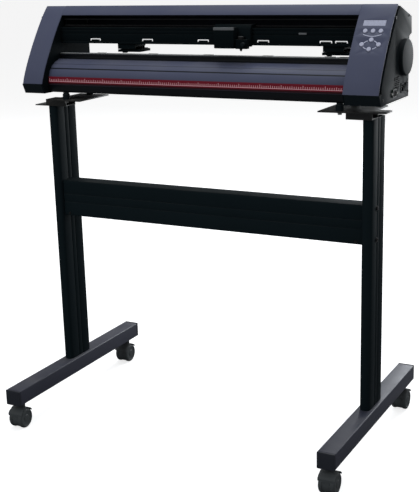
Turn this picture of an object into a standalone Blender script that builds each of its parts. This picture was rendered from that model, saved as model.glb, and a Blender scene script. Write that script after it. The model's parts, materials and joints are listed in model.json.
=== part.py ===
"""Vinyl cutter on a wheeled stand: the stand, the casters, the chassis, the drives and the control panel.

X runs along the rail, -Y is the front, +Z is up and the floor is at Z = 0. Sizes are in metres.
"""

import math

import bmesh
import bpy
from mathutils import Matrix, Vector

MM = 0.001
GAP = 0.3 * MM
SIDES = {"left": -1, "right": 1}

# Stand
FOOT_X = 401 * MM
FOOT_WIDTH = 40 * MM
FOOT_HEIGHT = 38 * MM
FOOT_LENGTH = 546 * MM
FOOT_BASE = 63 * MM
TUBE_WALL = 2 * MM
UPRIGHT_WIDTH = 24 * MM
UPRIGHT_DEPTH = 91 * MM
UPRIGHT_Y = 4 * MM
UPRIGHT_TOP = 754 * MM
UPRIGHT_GROOVE = 7.8 * MM
NOSE = 11 * MM
PROFILE_WALL = 3 * MM
BEAM_BASE = 481 * MM
BEAM_HEIGHT = 88 * MM
BEAM_FRONT = -29 * MM
BEAM_DEPTH = 46 * MM
GROOVE = 1.2 * MM
RISER_INNER = 355 * MM
RISER_FRONT = -45 * MM
RISER_DEPTH = 40 * MM
RISER_WALL = 2.5 * MM
PLATE_TOP = 773 * MM
PLATE_THICK = 3 * MM
PLATE_INNER = 300 * MM
PLATE_FRONT = -66 * MM
PLATE_BACK = 60 * MM
PAD_X = 345.5 * MM
PAD_RADIUS = 8.5 * MM
PAD_Y = {"front": -54 * MM, "rear": 45 * MM}

# Casters
CASTER_Y = {"front": -240 * MM, "rear": 240 * MM}
CASTER_TRAIL = 8 * MM
WHEEL_RADIUS = 24 * MM
WHEEL_WIDTH = 10 * MM
HOOD_HALF = 8.6 * MM
AXLE_RADIUS = 3.5 * MM

# Machine casing
CASE_LEFT = -444 * MM
CASE_RIGHT = 444 * MM
WALL_LEFT = -386.6 * MM
WALL_RIGHT = 364.9 * MM
SIDE_PLATE = 3 * MM
SHELL = 2.5 * MM
CASE_BASE = 789 * MM
CHIN_TOP = (-92 * MM, 812 * MM)
CHIN_BASE = (-82 * MM, CASE_BASE)
CROWN = (25 * MM, 987 * MM)
FACE_CONTROLS = ((-82 * MM, 852 * MM), (-5 * MM, 962 * MM))
REAR_TOP = (113 * MM, 957.5 * MM)
REAR_LIP = (116 * MM, 922 * MM)
REAR_WALL = 100 * MM
FASCIA = 2.8 * MM
SHADOW_GAP = 2 * MM
SHADOW_DEPTH = 9 * MM
BOSS_Y = 66 * MM
BOSS_Z = 875.2 * MM
BOSS_RADIUS = 39 * MM
BOSS_PROUD = 8.6 * MM
TOP_COVER_FRONT = 8 * MM
TOP_COVER_BASE = 966 * MM

# Platen, rail and media path
PLATEN_BASE = 790 * MM
DECK_TOP = 876.5 * MM
SHAFT_Y = 24 * MM
SHAFT_Z = 868.7 * MM
GRIT_RADIUS = 8.6 * MM
SHAFT_RADIUS = 4.2 * MM
JOURNAL_RADIUS = 3.8 * MM
GRIT_WIDTH = 27 * MM
GRIT_X = [x * MM for x in (-288, -145, 0, 148, 294, 329)]
RAIL_FRONT = -2 * MM
RAIL_BACK = 46 * MM
RAIL_BASE = 901 * MM
RAIL_TOP = 938 * MM

# Pinch rollers
PINCH_X = {"left": -224 * MM, "right": 291.5 * MM}
PINCH_RADIUS = 6 * MM
PINCH_WIDTH = 10 * MM
PINCH_PIVOT = (50 * MM, 895.5 * MM)

# Cutting carriage
CARRIAGE_X = (33 * MM, 122 * MM)
COVER_X = (43 * MM, 91.5 * MM)
SLIDE_X = (92 * MM, 120 * MM)
CARRIAGE_FRONT = -13 * MM
BLADE_X = 103 * MM
BLADE_Y = -20.8 * MM

# Drives
BELT_Y = (14 * MM, 20 * MM)
BELT_Z = 949 * MM
BELT_RADIUS = 6.7 * MM
BELT_THICK = 1.2 * MM
IDLER_X = -412 * MM
DRIVE_X = 391 * MM
GEAR_TEETH = 72
PINION_TEETH = 13
MODULE = 1 * MM
GEAR_X = (371 * MM, 378 * MM)

# Control panel and sockets
BUTTON_RADIUS = 4.8 * MM
ROUND_BUTTONS = {"menu": (387.5 * MM, 935 * MM), "pause": (404.3 * MM, 935 * MM), "start": (421 * MM, 935 * MM)}
ARROW_BUTTONS = {
    "up": (405 * MM, 918 * MM),
    "left": (386.5 * MM, 909 * MM),
    "right": (422.5 * MM, 909 * MM),
    "down": (404 * MM, 900 * MM),
}
SCREEN_X = (378.5 * MM, 427.5 * MM)
SCREEN_Z = (945 * MM, 956.5 * MM)
DATA_PORT = ((-12 * MM, 797.2 * MM), (14 * MM, 815.4 * MM))
INLET_PORT = ((47 * MM, 800.6 * MM), (67 * MM, 823 * MM))
SWITCH_PORT = ((73.6 * MM, 802.6 * MM), (88.4 * MM, 821.4 * MM))


def clear_scene():
    for old in list(bpy.data.objects):
        bpy.data.objects.remove(old)


def material(name, colour, roughness, metallic=0.0):
    """A Principled BSDF material, made once for each name."""
    found = bpy.data.materials.get(name)
    if found:
        return found
    made = bpy.data.materials.new(name)
    made.use_nodes = True
    shader = made.node_tree.nodes["Principled BSDF"]
    shader.inputs["Base Color"].default_value = (*colour, 1.0)
    shader.inputs["Roughness"].default_value = roughness
    shader.inputs["Metallic"].default_value = metallic
    return made


def black_metal():
    return material("black_powder_coat", (0.012, 0.013, 0.015), 0.45)


def black_plastic():
    return material("black_plastic", (0.01, 0.011, 0.012), 0.4)


def slate_plastic():
    return material("slate_plastic", (0.09, 0.1, 0.15), 0.42)


def steel():
    return material("bright_steel", (0.55, 0.56, 0.58), 0.3, 1.0)


def grey_plastic():
    return material("pale_grey_plastic", (0.45, 0.47, 0.48), 0.5)


# Outlines


def bezier(start, first, second, end, steps):
    """Points of a cubic curve in a plane, both ends included."""
    points = []
    for step in range(steps + 1):
        t = step / steps
        weights = ((1 - t) ** 3, 3 * t * (1 - t) ** 2, 3 * t * t * (1 - t), t**3)
        both = zip(start, first, second, end)
        points.append(tuple(sum(w * c for w, c in zip(weights, axis)) for axis in both))
    return points


def offset_path(points, distance):
    """An open path moved sideways, to the right of its direction."""
    moved = []
    for index, point in enumerate(points):
        before = Vector(points[max(index - 1, 0)])
        after = Vector(points[min(index + 1, len(points) - 1)])
        along = (after - before).normalized()
        moved.append((point[0] + along[1] * distance, point[1] - along[0] * distance))
    return moved


def rectangle(low, high, corner=0.0, steps=3):
    """A rectangle, with its corners rounded where corner isn't zero."""
    if not corner:
        return [low, (high[0], low[1]), high, (low[0], high[1])]
    centres = (
        (high[0] - corner, high[1] - corner, 0),
        (low[0] + corner, high[1] - corner, 90),
        (low[0] + corner, low[1] + corner, 180),
        (high[0] - corner, low[1] + corner, 270),
    )
    points = []
    for x, y, start in centres:
        for step in range(steps + 1):
            angle = math.radians(start + 90 * step / steps)
            points.append((x + corner * math.cos(angle), y + corner * math.sin(angle)))
    return points


def circle(centre, radius, steps=32):
    angles = [2 * math.pi * step / steps for step in range(steps)]
    return [(centre[0] + radius * math.cos(a), centre[1] + radius * math.sin(a)) for a in angles]


def grooved_side(u, start, end, centres, inward):
    """Points along one straight side, dipping into a square groove at each centre."""
    half = GROOVE
    direction = 1 if end > start else -1
    points = []
    for centre in sorted(centres, reverse=direction < 0):
        near = centre - direction * half
        far = centre + direction * half
        points += [(u, near), (u + inward, near), (u + inward, far), (u, far)]
    return points


def gear_outline(centre, teeth, phase):
    """A spur gear's outline, with plain tapered teeth of this drawing's module."""
    pitch = 2 * math.pi / teeth
    root = MODULE * teeth / 2 - 1.2 * MODULE
    tip = MODULE * teeth / 2 + 0.8 * MODULE
    points = []
    for tooth in range(teeth):
        middle = phase + tooth * pitch
        for radius, part in ((root, -0.26), (tip, -0.1), (tip, 0.1), (root, 0.26)):
            angle = middle + part * pitch
            points.append((centre[0] + radius * math.cos(angle), centre[1] + radius * math.sin(angle)))
    return points


# Solids


def place(axis, u, v, t):
    """The point of a profile's (u, v) at t along the axis that it is extruded on."""
    return {"X": (t, u, v), "Y": (u, t, v), "Z": (u, v, t)}[axis]


def prism(bm, outline, axis, low, high, holes=()):
    """An outline, less its holes, extruded along an axis from low to high."""
    edges = []
    for loop in (outline, *holes):
        verts = [bm.verts.new(place(axis, u, v, low)) for u, v in loop]
        edges += [bm.edges.new((verts[i - 1], verts[i])) for i in range(len(verts))]
    filled = bmesh.ops.triangle_fill(bm, use_beauty=True, edges=edges)
    faces = [item for item in filled["geom"] if isinstance(item, bmesh.types.BMFace)]
    bmesh.ops.dissolve_limit(bm, angle_limit=0.001, verts=[], edges=[e for e in edges if e.is_valid])
    raised = bmesh.ops.extrude_face_region(bm, geom=[f for f in faces if f.is_valid])
    top = [item for item in raised["geom"] if isinstance(item, bmesh.types.BMVert)]
    bmesh.ops.translate(bm, vec=Vector(place(axis, 0, 0, high - low)), verts=top)


def turned(bm, profile, origin, direction, steps=32):
    """A profile of (radius, height) points turned about an axis through origin."""
    turn = Vector((0, 0, 1)).rotation_difference(Vector(direction)).to_matrix().to_4x4()
    frame = Matrix.Translation(origin) @ turn
    verts = [bm.verts.new(frame @ Vector((radius, 0, height))) for radius, height in profile]
    edges = [bm.edges.new(pair) for pair in zip(verts, verts[1:])]
    if profile[0][0] > 0 and profile[-1][0] > 0:
        edges.append(bm.edges.new((verts[-1], verts[0])))
    axis = frame.to_3x3() @ Vector((0, 0, 1))
    bmesh.ops.spin(bm, geom=verts + edges, cent=origin, axis=axis, angle=2 * math.pi, steps=steps)
    bmesh.ops.remove_doubles(bm, verts=bm.verts, dist=1e-6)


def finish(name, bm, look, origin=(0, 0, 0), smooth=False):
    """An object from a mesh in world space, with its origin where given."""
    bmesh.ops.translate(bm, vec=-Vector(origin), verts=bm.verts)
    bmesh.ops.recalc_face_normals(bm, faces=bm.faces)
    mesh = bpy.data.meshes.new(name)
    bm.to_mesh(mesh)
    bm.free()
    if smooth:
        mesh.shade_smooth()
        mesh.set_sharp_from_angle(angle=math.radians(35))
    made = bpy.data.objects.new(name, mesh)
    made.location = origin
    bpy.context.scene.collection.objects.link(made)
    if look:
        mesh.materials.append(look)
    return made


def extruded(name, outline, axis, low, high, look, holes=(), origin=(0, 0, 0), smooth=False):
    bm = bmesh.new()
    prism(bm, outline, axis, low, high, holes)
    return finish(name, bm, look, origin, smooth)


def lathed(name, profile, origin, direction, look, steps=32):
    bm = bmesh.new()
    turned(bm, profile, origin, direction, steps)
    return finish(name, bm, look, origin, smooth=True)


def boolean(piece, tool, operation):
    """Cuts or joins a helper, which stays out of renders."""
    tool.hide_render = True
    tool.display_type = "WIRE"
    modifier = piece.modifiers.new(operation.lower() + "_" + tool.name, "BOOLEAN")
    modifier.operation = operation
    modifier.solver = "EXACT"
    modifier.object = tool


def cut_prism(piece, label, outline, axis, low, high):
    boolean(piece, extruded(piece.name + "_cut_" + label, outline, axis, low, high, None), "DIFFERENCE")


def add_prism(piece, label, outline, axis, low, high):
    boolean(piece, extruded(piece.name + "_add_" + label, outline, axis, low, high, None), "UNION")


def cut_turned(piece, label, profile, origin, direction, steps=32):
    boolean(piece, lathed(piece.name + "_cut_" + label, profile, origin, direction, None, steps), "DIFFERENCE")


def add_turned(piece, label, profile, origin, direction, steps=32):
    boolean(piece, lathed(piece.name + "_add_" + label, profile, origin, direction, None, steps), "UNION")


def rod(radius, low, high):
    """The profile of a plain round bar."""
    return [(0, low), (radius, low), (radius, high), (0, high)]


# Case outlines, in (Y, Z)


def face_curve(steps=12):
    """The front face of the casing, from the top of the chin up to the crown."""
    return bezier(CHIN_TOP, *FACE_CONTROLS, CROWN, steps)


def face_point(height):
    """Where the front face is at this height, and its outward normal, both in (Y, Z)."""
    points = face_curve(200)
    for (y0, z0), (y1, z1) in zip(points, points[1:]):
        if z0 <= height <= z1:
            y = y0 + (y1 - y0) * (height - z0) / (z1 - z0)
            along = Vector((y1 - y0, z1 - z0)).normalized()
            return (y, height), (-along[1], along[0])
    raise ValueError("the height is off the face")


def case_back():
    """The outline's points behind the crown, down to the foot of the rear wall."""
    return [REAR_TOP, REAR_LIP, (REAR_WALL, 917 * MM), (REAR_WALL, CASE_BASE)]


def recessed_case():
    """The casing's outline with its front face set back for the fascia."""
    inner = offset_path(face_curve(), FASCIA + GAP)
    ledge = (CHIN_TOP[0], CHIN_TOP[1] - GAP)
    inner = [(y, z) for y, z in inner if z > CHIN_TOP[1] + MM]
    start = (-88.2 * MM, CHIN_TOP[1] - GAP)
    return [CHIN_BASE, ledge, start, *inner, *case_back()]


# Stand


def make_feet():
    for side, sign in SIDES.items():
        low = (sign * FOOT_X - FOOT_WIDTH / 2, FOOT_BASE)
        high = (sign * FOOT_X + FOOT_WIDTH / 2, FOOT_BASE + FOOT_HEIGHT)
        hollow_low = (low[0] + TUBE_WALL, low[1] + TUBE_WALL)
        hollow_high = (high[0] - TUBE_WALL, high[1] - TUBE_WALL)
        extruded(
            "foot_" + side,
            rectangle(low, high, 3 * MM),
            "Y",
            -FOOT_LENGTH / 2,
            FOOT_LENGTH / 2,
            black_metal(),
            holes=[rectangle(hollow_low, hollow_high, 1.2 * MM, 2)],
        )


def make_uprights():
    """Two hollow profiles with round noses, and a pair of running grooves on each side."""
    front = UPRIGHT_Y - UPRIGHT_DEPTH / 2
    back = UPRIGHT_Y + UPRIGHT_DEPTH / 2
    half = UPRIGHT_WIDTH / 2
    grooves = [UPRIGHT_Y - UPRIGHT_GROOVE, UPRIGHT_Y + UPRIGHT_GROOVE]
    arc = [math.pi * step / 10 for step in range(1, 10)]
    for side, sign in SIDES.items():
        middle = sign * FOOT_X
        left = middle - half
        right = middle + half
        outline = [(left, front + NOSE)]
        outline += [(middle - half * math.cos(a), front + NOSE - NOSE * math.sin(a)) for a in arc]
        outline += [(right, front + NOSE), *grooved_side(right, front, back, grooves, -GROOVE), (right, back - NOSE)]
        outline += [(middle + half * math.cos(a), back - NOSE + NOSE * math.sin(a)) for a in arc]
        outline += [(left, back - NOSE), *grooved_side(left, back, front, grooves, GROOVE)]
        low = (left + PROFILE_WALL, front + NOSE - 2 * MM)
        high = (right - PROFILE_WALL, back - NOSE + 2 * MM)
        base = FOOT_BASE + FOOT_HEIGHT + GAP
        hollow = [rectangle(low, high)]
        extruded("upright_" + side, outline, "Z", base, UPRIGHT_TOP, black_metal(), holes=hollow, smooth=True)


def make_crossbeam():
    top = BEAM_BASE + BEAM_HEIGHT
    back = BEAM_FRONT + BEAM_DEPTH
    corner = 2 * MM
    outline = [(BEAM_FRONT + corner, BEAM_BASE), (back - corner, BEAM_BASE), (back, BEAM_BASE + corner)]
    outline += [(back, top - corner), (back - corner, top), (BEAM_FRONT + corner, top), (BEAM_FRONT, top - corner)]
    outline += grooved_side(BEAM_FRONT, top, BEAM_BASE, [516 * MM, 536 * MM], GROOVE)
    outline += [(BEAM_FRONT, BEAM_BASE + corner)]
    low = (BEAM_FRONT + PROFILE_WALL, BEAM_BASE + PROFILE_WALL)
    high = (back - PROFILE_WALL, top - PROFILE_WALL)
    half = FOOT_X - UPRIGHT_WIDTH / 2 - GAP
    extruded("crossbeam", outline, "X", -half, half, black_metal(), holes=[rectangle(low, high)])


def make_brackets():
    """Each bracket: a short box channel across the upright's top, with a support plate welded on it."""
    base = UPRIGHT_TOP + GAP
    outer = FOOT_X + UPRIGHT_WIDTH / 2
    plate_base = PLATE_TOP - PLATE_THICK
    low = (RISER_FRONT, base)
    high = (RISER_FRONT + RISER_DEPTH, plate_base + 0.5 * MM)
    hollow_low = (low[0] + RISER_WALL, low[1] + RISER_WALL)
    hollow_high = (high[0] - RISER_WALL, high[1] - RISER_WALL)
    plate_outer = {"left": 384 * MM, "right": 446 * MM}
    for side, sign in SIDES.items():
        ends = sorted((sign * RISER_INNER, sign * outer))
        hollow = [rectangle(hollow_low, hollow_high)]
        bracket = extruded("support_bracket_" + side, rectangle(low, high), "X", *ends, black_metal(), holes=hollow)
        plate = [(sign * PLATE_INNER, PLATE_FRONT), (sign * plate_outer[side], PLATE_FRONT)]
        if side == "right":
            plate[1] = (plate_outer[side], RISER_FRONT - 7 * MM)
            plate.insert(1, (sign * outer, PLATE_FRONT + 6 * MM))
            plate += [(plate_outer[side], -12 * MM), (outer, -12 * MM), (outer, PLATE_BACK)]
        else:
            plate += [(sign * plate_outer[side], PLATE_BACK)]
        plate += [(sign * PLATE_INNER, PLATE_BACK)]
        add_prism(bracket, "plate", plate, "Z", plate_base, PLATE_TOP)
        if side == "left":
            tongue = rectangle((-445 * MM, RISER_FRONT), (-outer + MM, 0))
            add_prism(bracket, "tongue", tongue, "Z", base, base + RISER_WALL)


def make_machine_pads():
    for side, sign in SIDES.items():
        for end, y in PAD_Y.items():
            height = PLATEN_BASE - GAP - PLATE_TOP - GAP
            collar = PAD_RADIUS - 1.5 * MM
            profile = [(0, 0), (PAD_RADIUS, 0), (PAD_RADIUS, height - 4 * MM)]
            profile += [(collar, height - 3 * MM), (collar, height), (0, height)]
            origin = (sign * PAD_X, y, PLATE_TOP + GAP)
            lathed(f"machine_foot_{end}_{side}", profile, origin, (0, 0, 1), black_plastic(), 24)


def make_casters():
    """Twin-wheel swivel casters: a hood with its stem, and two wheels on one axle."""
    for side, sign in SIDES.items():
        for end, y in CASTER_Y.items():
            label = f"{end}_{side}"
            x = sign * FOOT_X
            hub = (y - CASTER_TRAIL, WHEEL_RADIUS)
            web = []
            for angle in range(35, 395, 10):
                turn = math.radians(angle)
                radius = 26 * MM if angle < 160 else WHEEL_RADIUS - 1.5 * MM
                web.append((hub[0] + radius * math.cos(turn), hub[1] + radius * math.sin(turn)))
            pivot = (x, y, FOOT_BASE)
            hood = extruded("caster_hood_" + label, web, "X", x - HOOD_HALF, x + HOOD_HALF, black_plastic(), origin=pivot)
            fender = []
            for radius, angles in ((27 * MM, range(35, 156, 10)), (25 * MM, range(155, 34, -10))):
                for angle in angles:
                    turn = math.radians(angle)
                    fender.append((hub[0] + radius * math.cos(turn), hub[1] + radius * math.sin(turn)))
            half = HOOD_HALF + WHEEL_WIDTH + 0.4 * MM
            add_prism(hood, "fender", fender, "X", x - half, x + half)
            neck = [(0, 40 * MM), (8 * MM, 40 * MM), (8 * MM, 56 * MM), (12 * MM, 59 * MM)]
            neck += [(12 * MM, FOOT_BASE - GAP), (0, FOOT_BASE - GAP)]
            add_turned(hood, "neck", neck, (x, y, 0), (0, 0, 1), 24)
            bore = AXLE_RADIUS + GAP
            cut_turned(hood, "bore", rod(bore, -HOOD_HALF - MM, HOOD_HALF + MM), (x, *hub), (1, 0, 0), 24)
            inner = HOOD_HALF + 0.4 * MM
            outer = inner + WHEEL_WIDTH - 0.4 * MM
            tread = WHEEL_RADIUS
            half_profile = [(AXLE_RADIUS, inner), (tread - MM, inner), (tread, inner + MM)]
            half_profile += [(tread, outer - 2 * MM), (tread - 2 * MM, outer), (9 * MM, outer)]
            half_profile += [(8 * MM, outer - MM), (0, outer - MM)]
            profile = [(r, -t) for r, t in reversed(half_profile)] + half_profile
            lathed("caster_wheels_" + label, profile, (x, *hub), (1, 0, 0), black_plastic(), 32)


# Casing


def make_side_plates():
    """The two chassis plates, which carry the platen, the rail and the drives."""
    outline = recessed_case()
    ear = [REAR_TOP, REAR_LIP, (REAR_LIP[0], 862 * MM), (REAR_WALL, 856 * MM), (REAR_WALL, CASE_BASE)]
    plate = outline[:-4] + ear
    window = rectangle((11 * MM, 938.5 * MM), (23 * MM, 959.5 * MM))
    journal = circle((SHAFT_Y, SHAFT_Z), JOURNAL_RADIUS + GAP, 24)
    ends = {"left": (WALL_LEFT - SIDE_PLATE, WALL_LEFT), "right": (WALL_RIGHT, WALL_RIGHT + SIDE_PLATE)}
    for side, (low, high) in ends.items():
        extruded("side_plate_" + side, plate, "X", low, high, black_metal(), holes=[window, journal])


def case_hollow():
    """The room inside an end cover, which also opens its front behind the fascia."""
    front = [(y, z) for y, z in offset_path(face_curve(), -2 * MM) if 822 * MM < z < 972 * MM]
    lower = [(-78 * MM, CASE_BASE + SHELL), (-84 * MM, 808 * MM), (-84 * MM, 816 * MM)]
    crown = [(8 * MM, 964 * MM), (27 * MM, 983.4 * MM)]
    back = [(110.6 * MM, 956.1 * MM), (113.2 * MM, 924 * MM), (97.5 * MM, 919.5 * MM), (97.5 * MM, CASE_BASE + SHELL)]
    return [*lower, *front, *crown, *back]


def make_end_covers():
    ends = {"left": (CASE_LEFT, WALL_LEFT - SIDE_PLATE - GAP), "right": (WALL_RIGHT + SIDE_PLATE + GAP, CASE_RIGHT)}
    for side, (low, high) in ends.items():
        sign = SIDES[side]
        cover = extruded("end_cover_" + side, recessed_case(), "X", low, high, black_plastic())
        outer = high if sign > 0 else low
        wall = outer - sign * SHELL
        reach = (low - MM if sign > 0 else high + MM, wall)
        cut_prism(cover, "hollow", case_hollow(), "X", *sorted(reach))
        edge = [(y, z) for y, z in offset_path(face_curve(), SHADOW_DEPTH) if z > CHIN_TOP[1] + 2 * MM]
        front = [(-78 * MM, CHIN_TOP[1] + MM), *edge, (40 * MM, 1), (-0.12, 1), (-0.12, CHIN_TOP[1] + MM)]
        gap = sorted((outer - sign * 3 * MM, outer + sign * MM))
        cut_prism(cover, "shadow_gap", front, "X", *gap)
        rim = BOSS_RADIUS
        boss = [(0, -MM), (rim, -MM), (rim, BOSS_PROUD - 2 * MM), (rim - 2 * MM, BOSS_PROUD), (0, BOSS_PROUD)]
        add_turned(cover, "boss", boss, (outer, BOSS_Y, BOSS_Z), (sign, 0, 0), 40)
        inside = rod(rim - SHELL - MM, -SHELL - MM, BOSS_PROUD - SHELL)
        cut_turned(cover, "boss", inside, (outer, BOSS_Y, BOSS_Z), (sign, 0, 0), 40)
        if side == "right":
            for label, port in (("data", DATA_PORT), ("inlet", INLET_PORT), ("switch", SWITCH_PORT)):
                cut_prism(cover, label, rectangle(*port), "X", CASE_RIGHT - 2 * SHELL, CASE_RIGHT + MM)


def face_block(low_z, high_z, depth_in, depth_out):
    """A rectangle standing on the front face between two heights, in (Y, Z)."""
    points = []
    for height, depth in ((low_z, depth_out), (high_z, depth_out), (high_z, -depth_in), (low_z, -depth_in)):
        (y, z), normal = face_point(height)
        points.append((y + normal[0] * depth, z + normal[1] * depth))
    return points


def make_fascias():
    """The slate front skins of the two ends, with the right one opened for the control panel."""
    back = offset_path(face_curve(), FASCIA)
    front = face_curve()
    back[0] = (back[0][0], CHIN_TOP[1])
    back = [(y, max(z, CHIN_TOP[1])) for y, z in back]
    outline = front + back[::-1]
    ends = (CASE_LEFT + SHADOW_GAP, WALL_LEFT)
    extruded("fascia_left", outline, "X", *ends, slate_plastic(), smooth=True)
    ends = (WALL_RIGHT, CASE_RIGHT - SHADOW_GAP)
    panel = extruded("fascia_right", outline, "X", *ends, slate_plastic(), smooth=True)
    cut_prism(panel, "screen", face_block(*SCREEN_Z, 6 * MM, 6 * MM), "X", *SCREEN_X)
    for name, (x, z) in {**ROUND_BUTTONS, **ARROW_BUTTONS}.items():
        (y, z), normal = face_point(z)
        hole = rod(BUTTON_RADIUS + 0.4 * MM, -6 * MM, 6 * MM)
        cut_turned(panel, name, hole, (x, y, z), (0, *normal), 24)


def make_top_cover():
    """A bent sheet from the front band over the rail to the rear lip."""
    curve = [(y, z) for y, z in face_curve(24) if z > TOP_COVER_BASE]
    start = face_point(TOP_COVER_BASE)[0]
    outer = [start, *curve, REAR_TOP, (REAR_LIP[0], 924 * MM)]
    inner = offset_path(outer, SHELL)
    inner[-1] = (outer[-1][0] - SHELL, 924 * MM)
    extruded("top_cover", outer + inner[::-1], "X", WALL_LEFT + GAP, WALL_RIGHT - GAP, slate_plastic(), smooth=True)


# Platen and rail


def make_platen():
    """The base: a hollow extrusion with a curved apron on each side and a window over each grit drum."""
    apron = bezier((-62.8 * MM, 829 * MM), (-57 * MM, 848 * MM), (-38 * MM, 861 * MM), (-14 * MM, 865 * MM), 10)
    rear = bezier((38 * MM, 875.2 * MM), (62 * MM, 873 * MM), (88 * MM, 862 * MM), (96 * MM, 836 * MM), 10)
    front = [(-57 * MM, PLATEN_BASE), (-63.5 * MM, 797 * MM), (-64.8 * MM, 808 * MM)]
    seat = [(-8.5 * MM, 866 * MM), (-8.5 * MM, 872.7 * MM), (2.5 * MM, 872.7 * MM), (2.5 * MM, DECK_TOP)]
    foot = [(98 * MM, 815 * MM), (98 * MM, 795 * MM), (93 * MM, PLATEN_BASE)]
    hollow = [(-56 * MM, 793 * MM), (-60.4 * MM, 798 * MM), (-61.6 * MM, 809 * MM)]
    hollow += offset_path(apron, PROFILE_WALL)[:-1]
    hollow += [(-5.5 * MM, 862 * MM), (-5.5 * MM, 869.7 * MM), (5.5 * MM, 869.7 * MM), (5.5 * MM, DECK_TOP - SHELL)]
    hollow += [(15 * MM, DECK_TOP - SHELL), *offset_path(rear, PROFILE_WALL)]
    hollow += [(95 * MM, 815 * MM), (95 * MM, 796 * MM), (92 * MM, 793 * MM)]
    outline = [*front, *apron, *seat, (15 * MM, DECK_TOP), *rear, *foot]
    ends = (WALL_LEFT + GAP, WALL_RIGHT - GAP)
    platen = extruded("base_platen", outline, "X", *ends, slate_plastic(), holes=[hollow], smooth=True)
    for index, x in enumerate(GRIT_X):
        half = GRIT_WIDTH / 2 + 1.2 * MM
        window = rectangle((x - half, SHAFT_Y - 9 * MM), (x + half, SHAFT_Y + 9 * MM))
        cut_prism(platen, f"window_{index}", window, "Z", 866 * MM, 880 * MM)
    strip = [(-11.5 * MM, 873 * MM), (-11.5 * MM, 876.4 * MM), (-9 * MM, 878 * MM), (2.2 * MM, 878 * MM)]
    strip += [(2.2 * MM, 873 * MM)]
    extruded("cutting_strip", strip, "X", *ends, grey_plastic())
    ruler = [(-66.6 * MM, 809.5 * MM), (-65.1 * MM, 809.4 * MM), (-63.3 * MM, 827.5 * MM), (-64.8 * MM, 827.6 * MM)]
    red = material("ruler_red", (0.3, 0.02, 0.05), 0.4)
    extruded("ruler_strip", ruler, "X", ends[0] + MM, ends[1] - MM, red)


def make_rail():
    """The carriage's guide rail, a hollow extrusion with running grooves in its front."""
    outline = [(RAIL_BACK, RAIL_BASE), (RAIL_BACK, RAIL_TOP), (RAIL_FRONT, RAIL_TOP)]
    outline += grooved_side(RAIL_FRONT, RAIL_TOP, RAIL_BASE, [906 * MM, 924 * MM, 932 * MM], GROOVE)
    outline += [(RAIL_FRONT, RAIL_BASE)]
    low = (RAIL_FRONT + PROFILE_WALL, RAIL_BASE + PROFILE_WALL)
    high = (RAIL_BACK - PROFILE_WALL, RAIL_TOP - PROFILE_WALL)
    extruded("guide_rail", outline, "X", WALL_LEFT + GAP, WALL_RIGHT - GAP, black_metal(), holes=[rectangle(low, high)])


# Media feed


def make_feed():
    """The grit shaft with its drums, its large gear, and the motor with its pinion."""
    start = WALL_LEFT - 8 * MM
    body = (WALL_LEFT + MM, WALL_RIGHT - MM)
    end = GEAR_X[1] + 2 * MM
    profile = [(0, start), (JOURNAL_RADIUS, start), (JOURNAL_RADIUS, body[0]), (SHAFT_RADIUS, body[0])]
    for x in GRIT_X:
        low = x - GRIT_WIDTH / 2
        high = x + GRIT_WIDTH / 2
        profile += [(SHAFT_RADIUS, low), (GRIT_RADIUS, low), (GRIT_RADIUS, high), (SHAFT_RADIUS, high)]
    profile += [(SHAFT_RADIUS, body[1]), (JOURNAL_RADIUS, body[1]), (JOURNAL_RADIUS, end), (0, end)]
    lathed("grit_shaft", profile, (0, SHAFT_Y, SHAFT_Z), (1, 0, 0), steel(), 24)
    toward = math.atan2(BOSS_Z - SHAFT_Z, BOSS_Y - SHAFT_Y)
    bore = circle((SHAFT_Y, SHAFT_Z), JOURNAL_RADIUS + GAP, 24)
    wheel = gear_outline((SHAFT_Y, SHAFT_Z), GEAR_TEETH, toward)
    nylon = material("white_nylon", (0.75, 0.74, 0.7), 0.5)
    extruded("feed_gear", wheel, "X", *GEAR_X, nylon, holes=[bore], origin=(0, SHAFT_Y, SHAFT_Z))
    half_tooth = math.pi / PINION_TEETH
    pinion_phase = toward + math.pi + half_tooth
    outline = gear_outline((BOSS_Y, BOSS_Z), PINION_TEETH, pinion_phase)
    motor_face = 384 * MM
    brass = material("brass", (0.6, 0.42, 0.15), 0.35, 1.0)
    pinion = extruded("feed_pinion", outline, "X", GEAR_X[0], GEAR_X[1] + MM, brass, origin=(0, BOSS_Y, BOSS_Z))
    add_turned(pinion, "shaft", rod(3 * MM, GEAR_X[1], motor_face - GAP), (0, BOSS_Y, BOSS_Z), (1, 0, 0), 16)
    half = 28 * MM
    case = rectangle((BOSS_Y - half, BOSS_Z - half), (BOSS_Y + half, BOSS_Z + half), 6 * MM)
    extruded("feed_motor", case, "X", motor_face, 430 * MM, black_metal())


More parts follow.
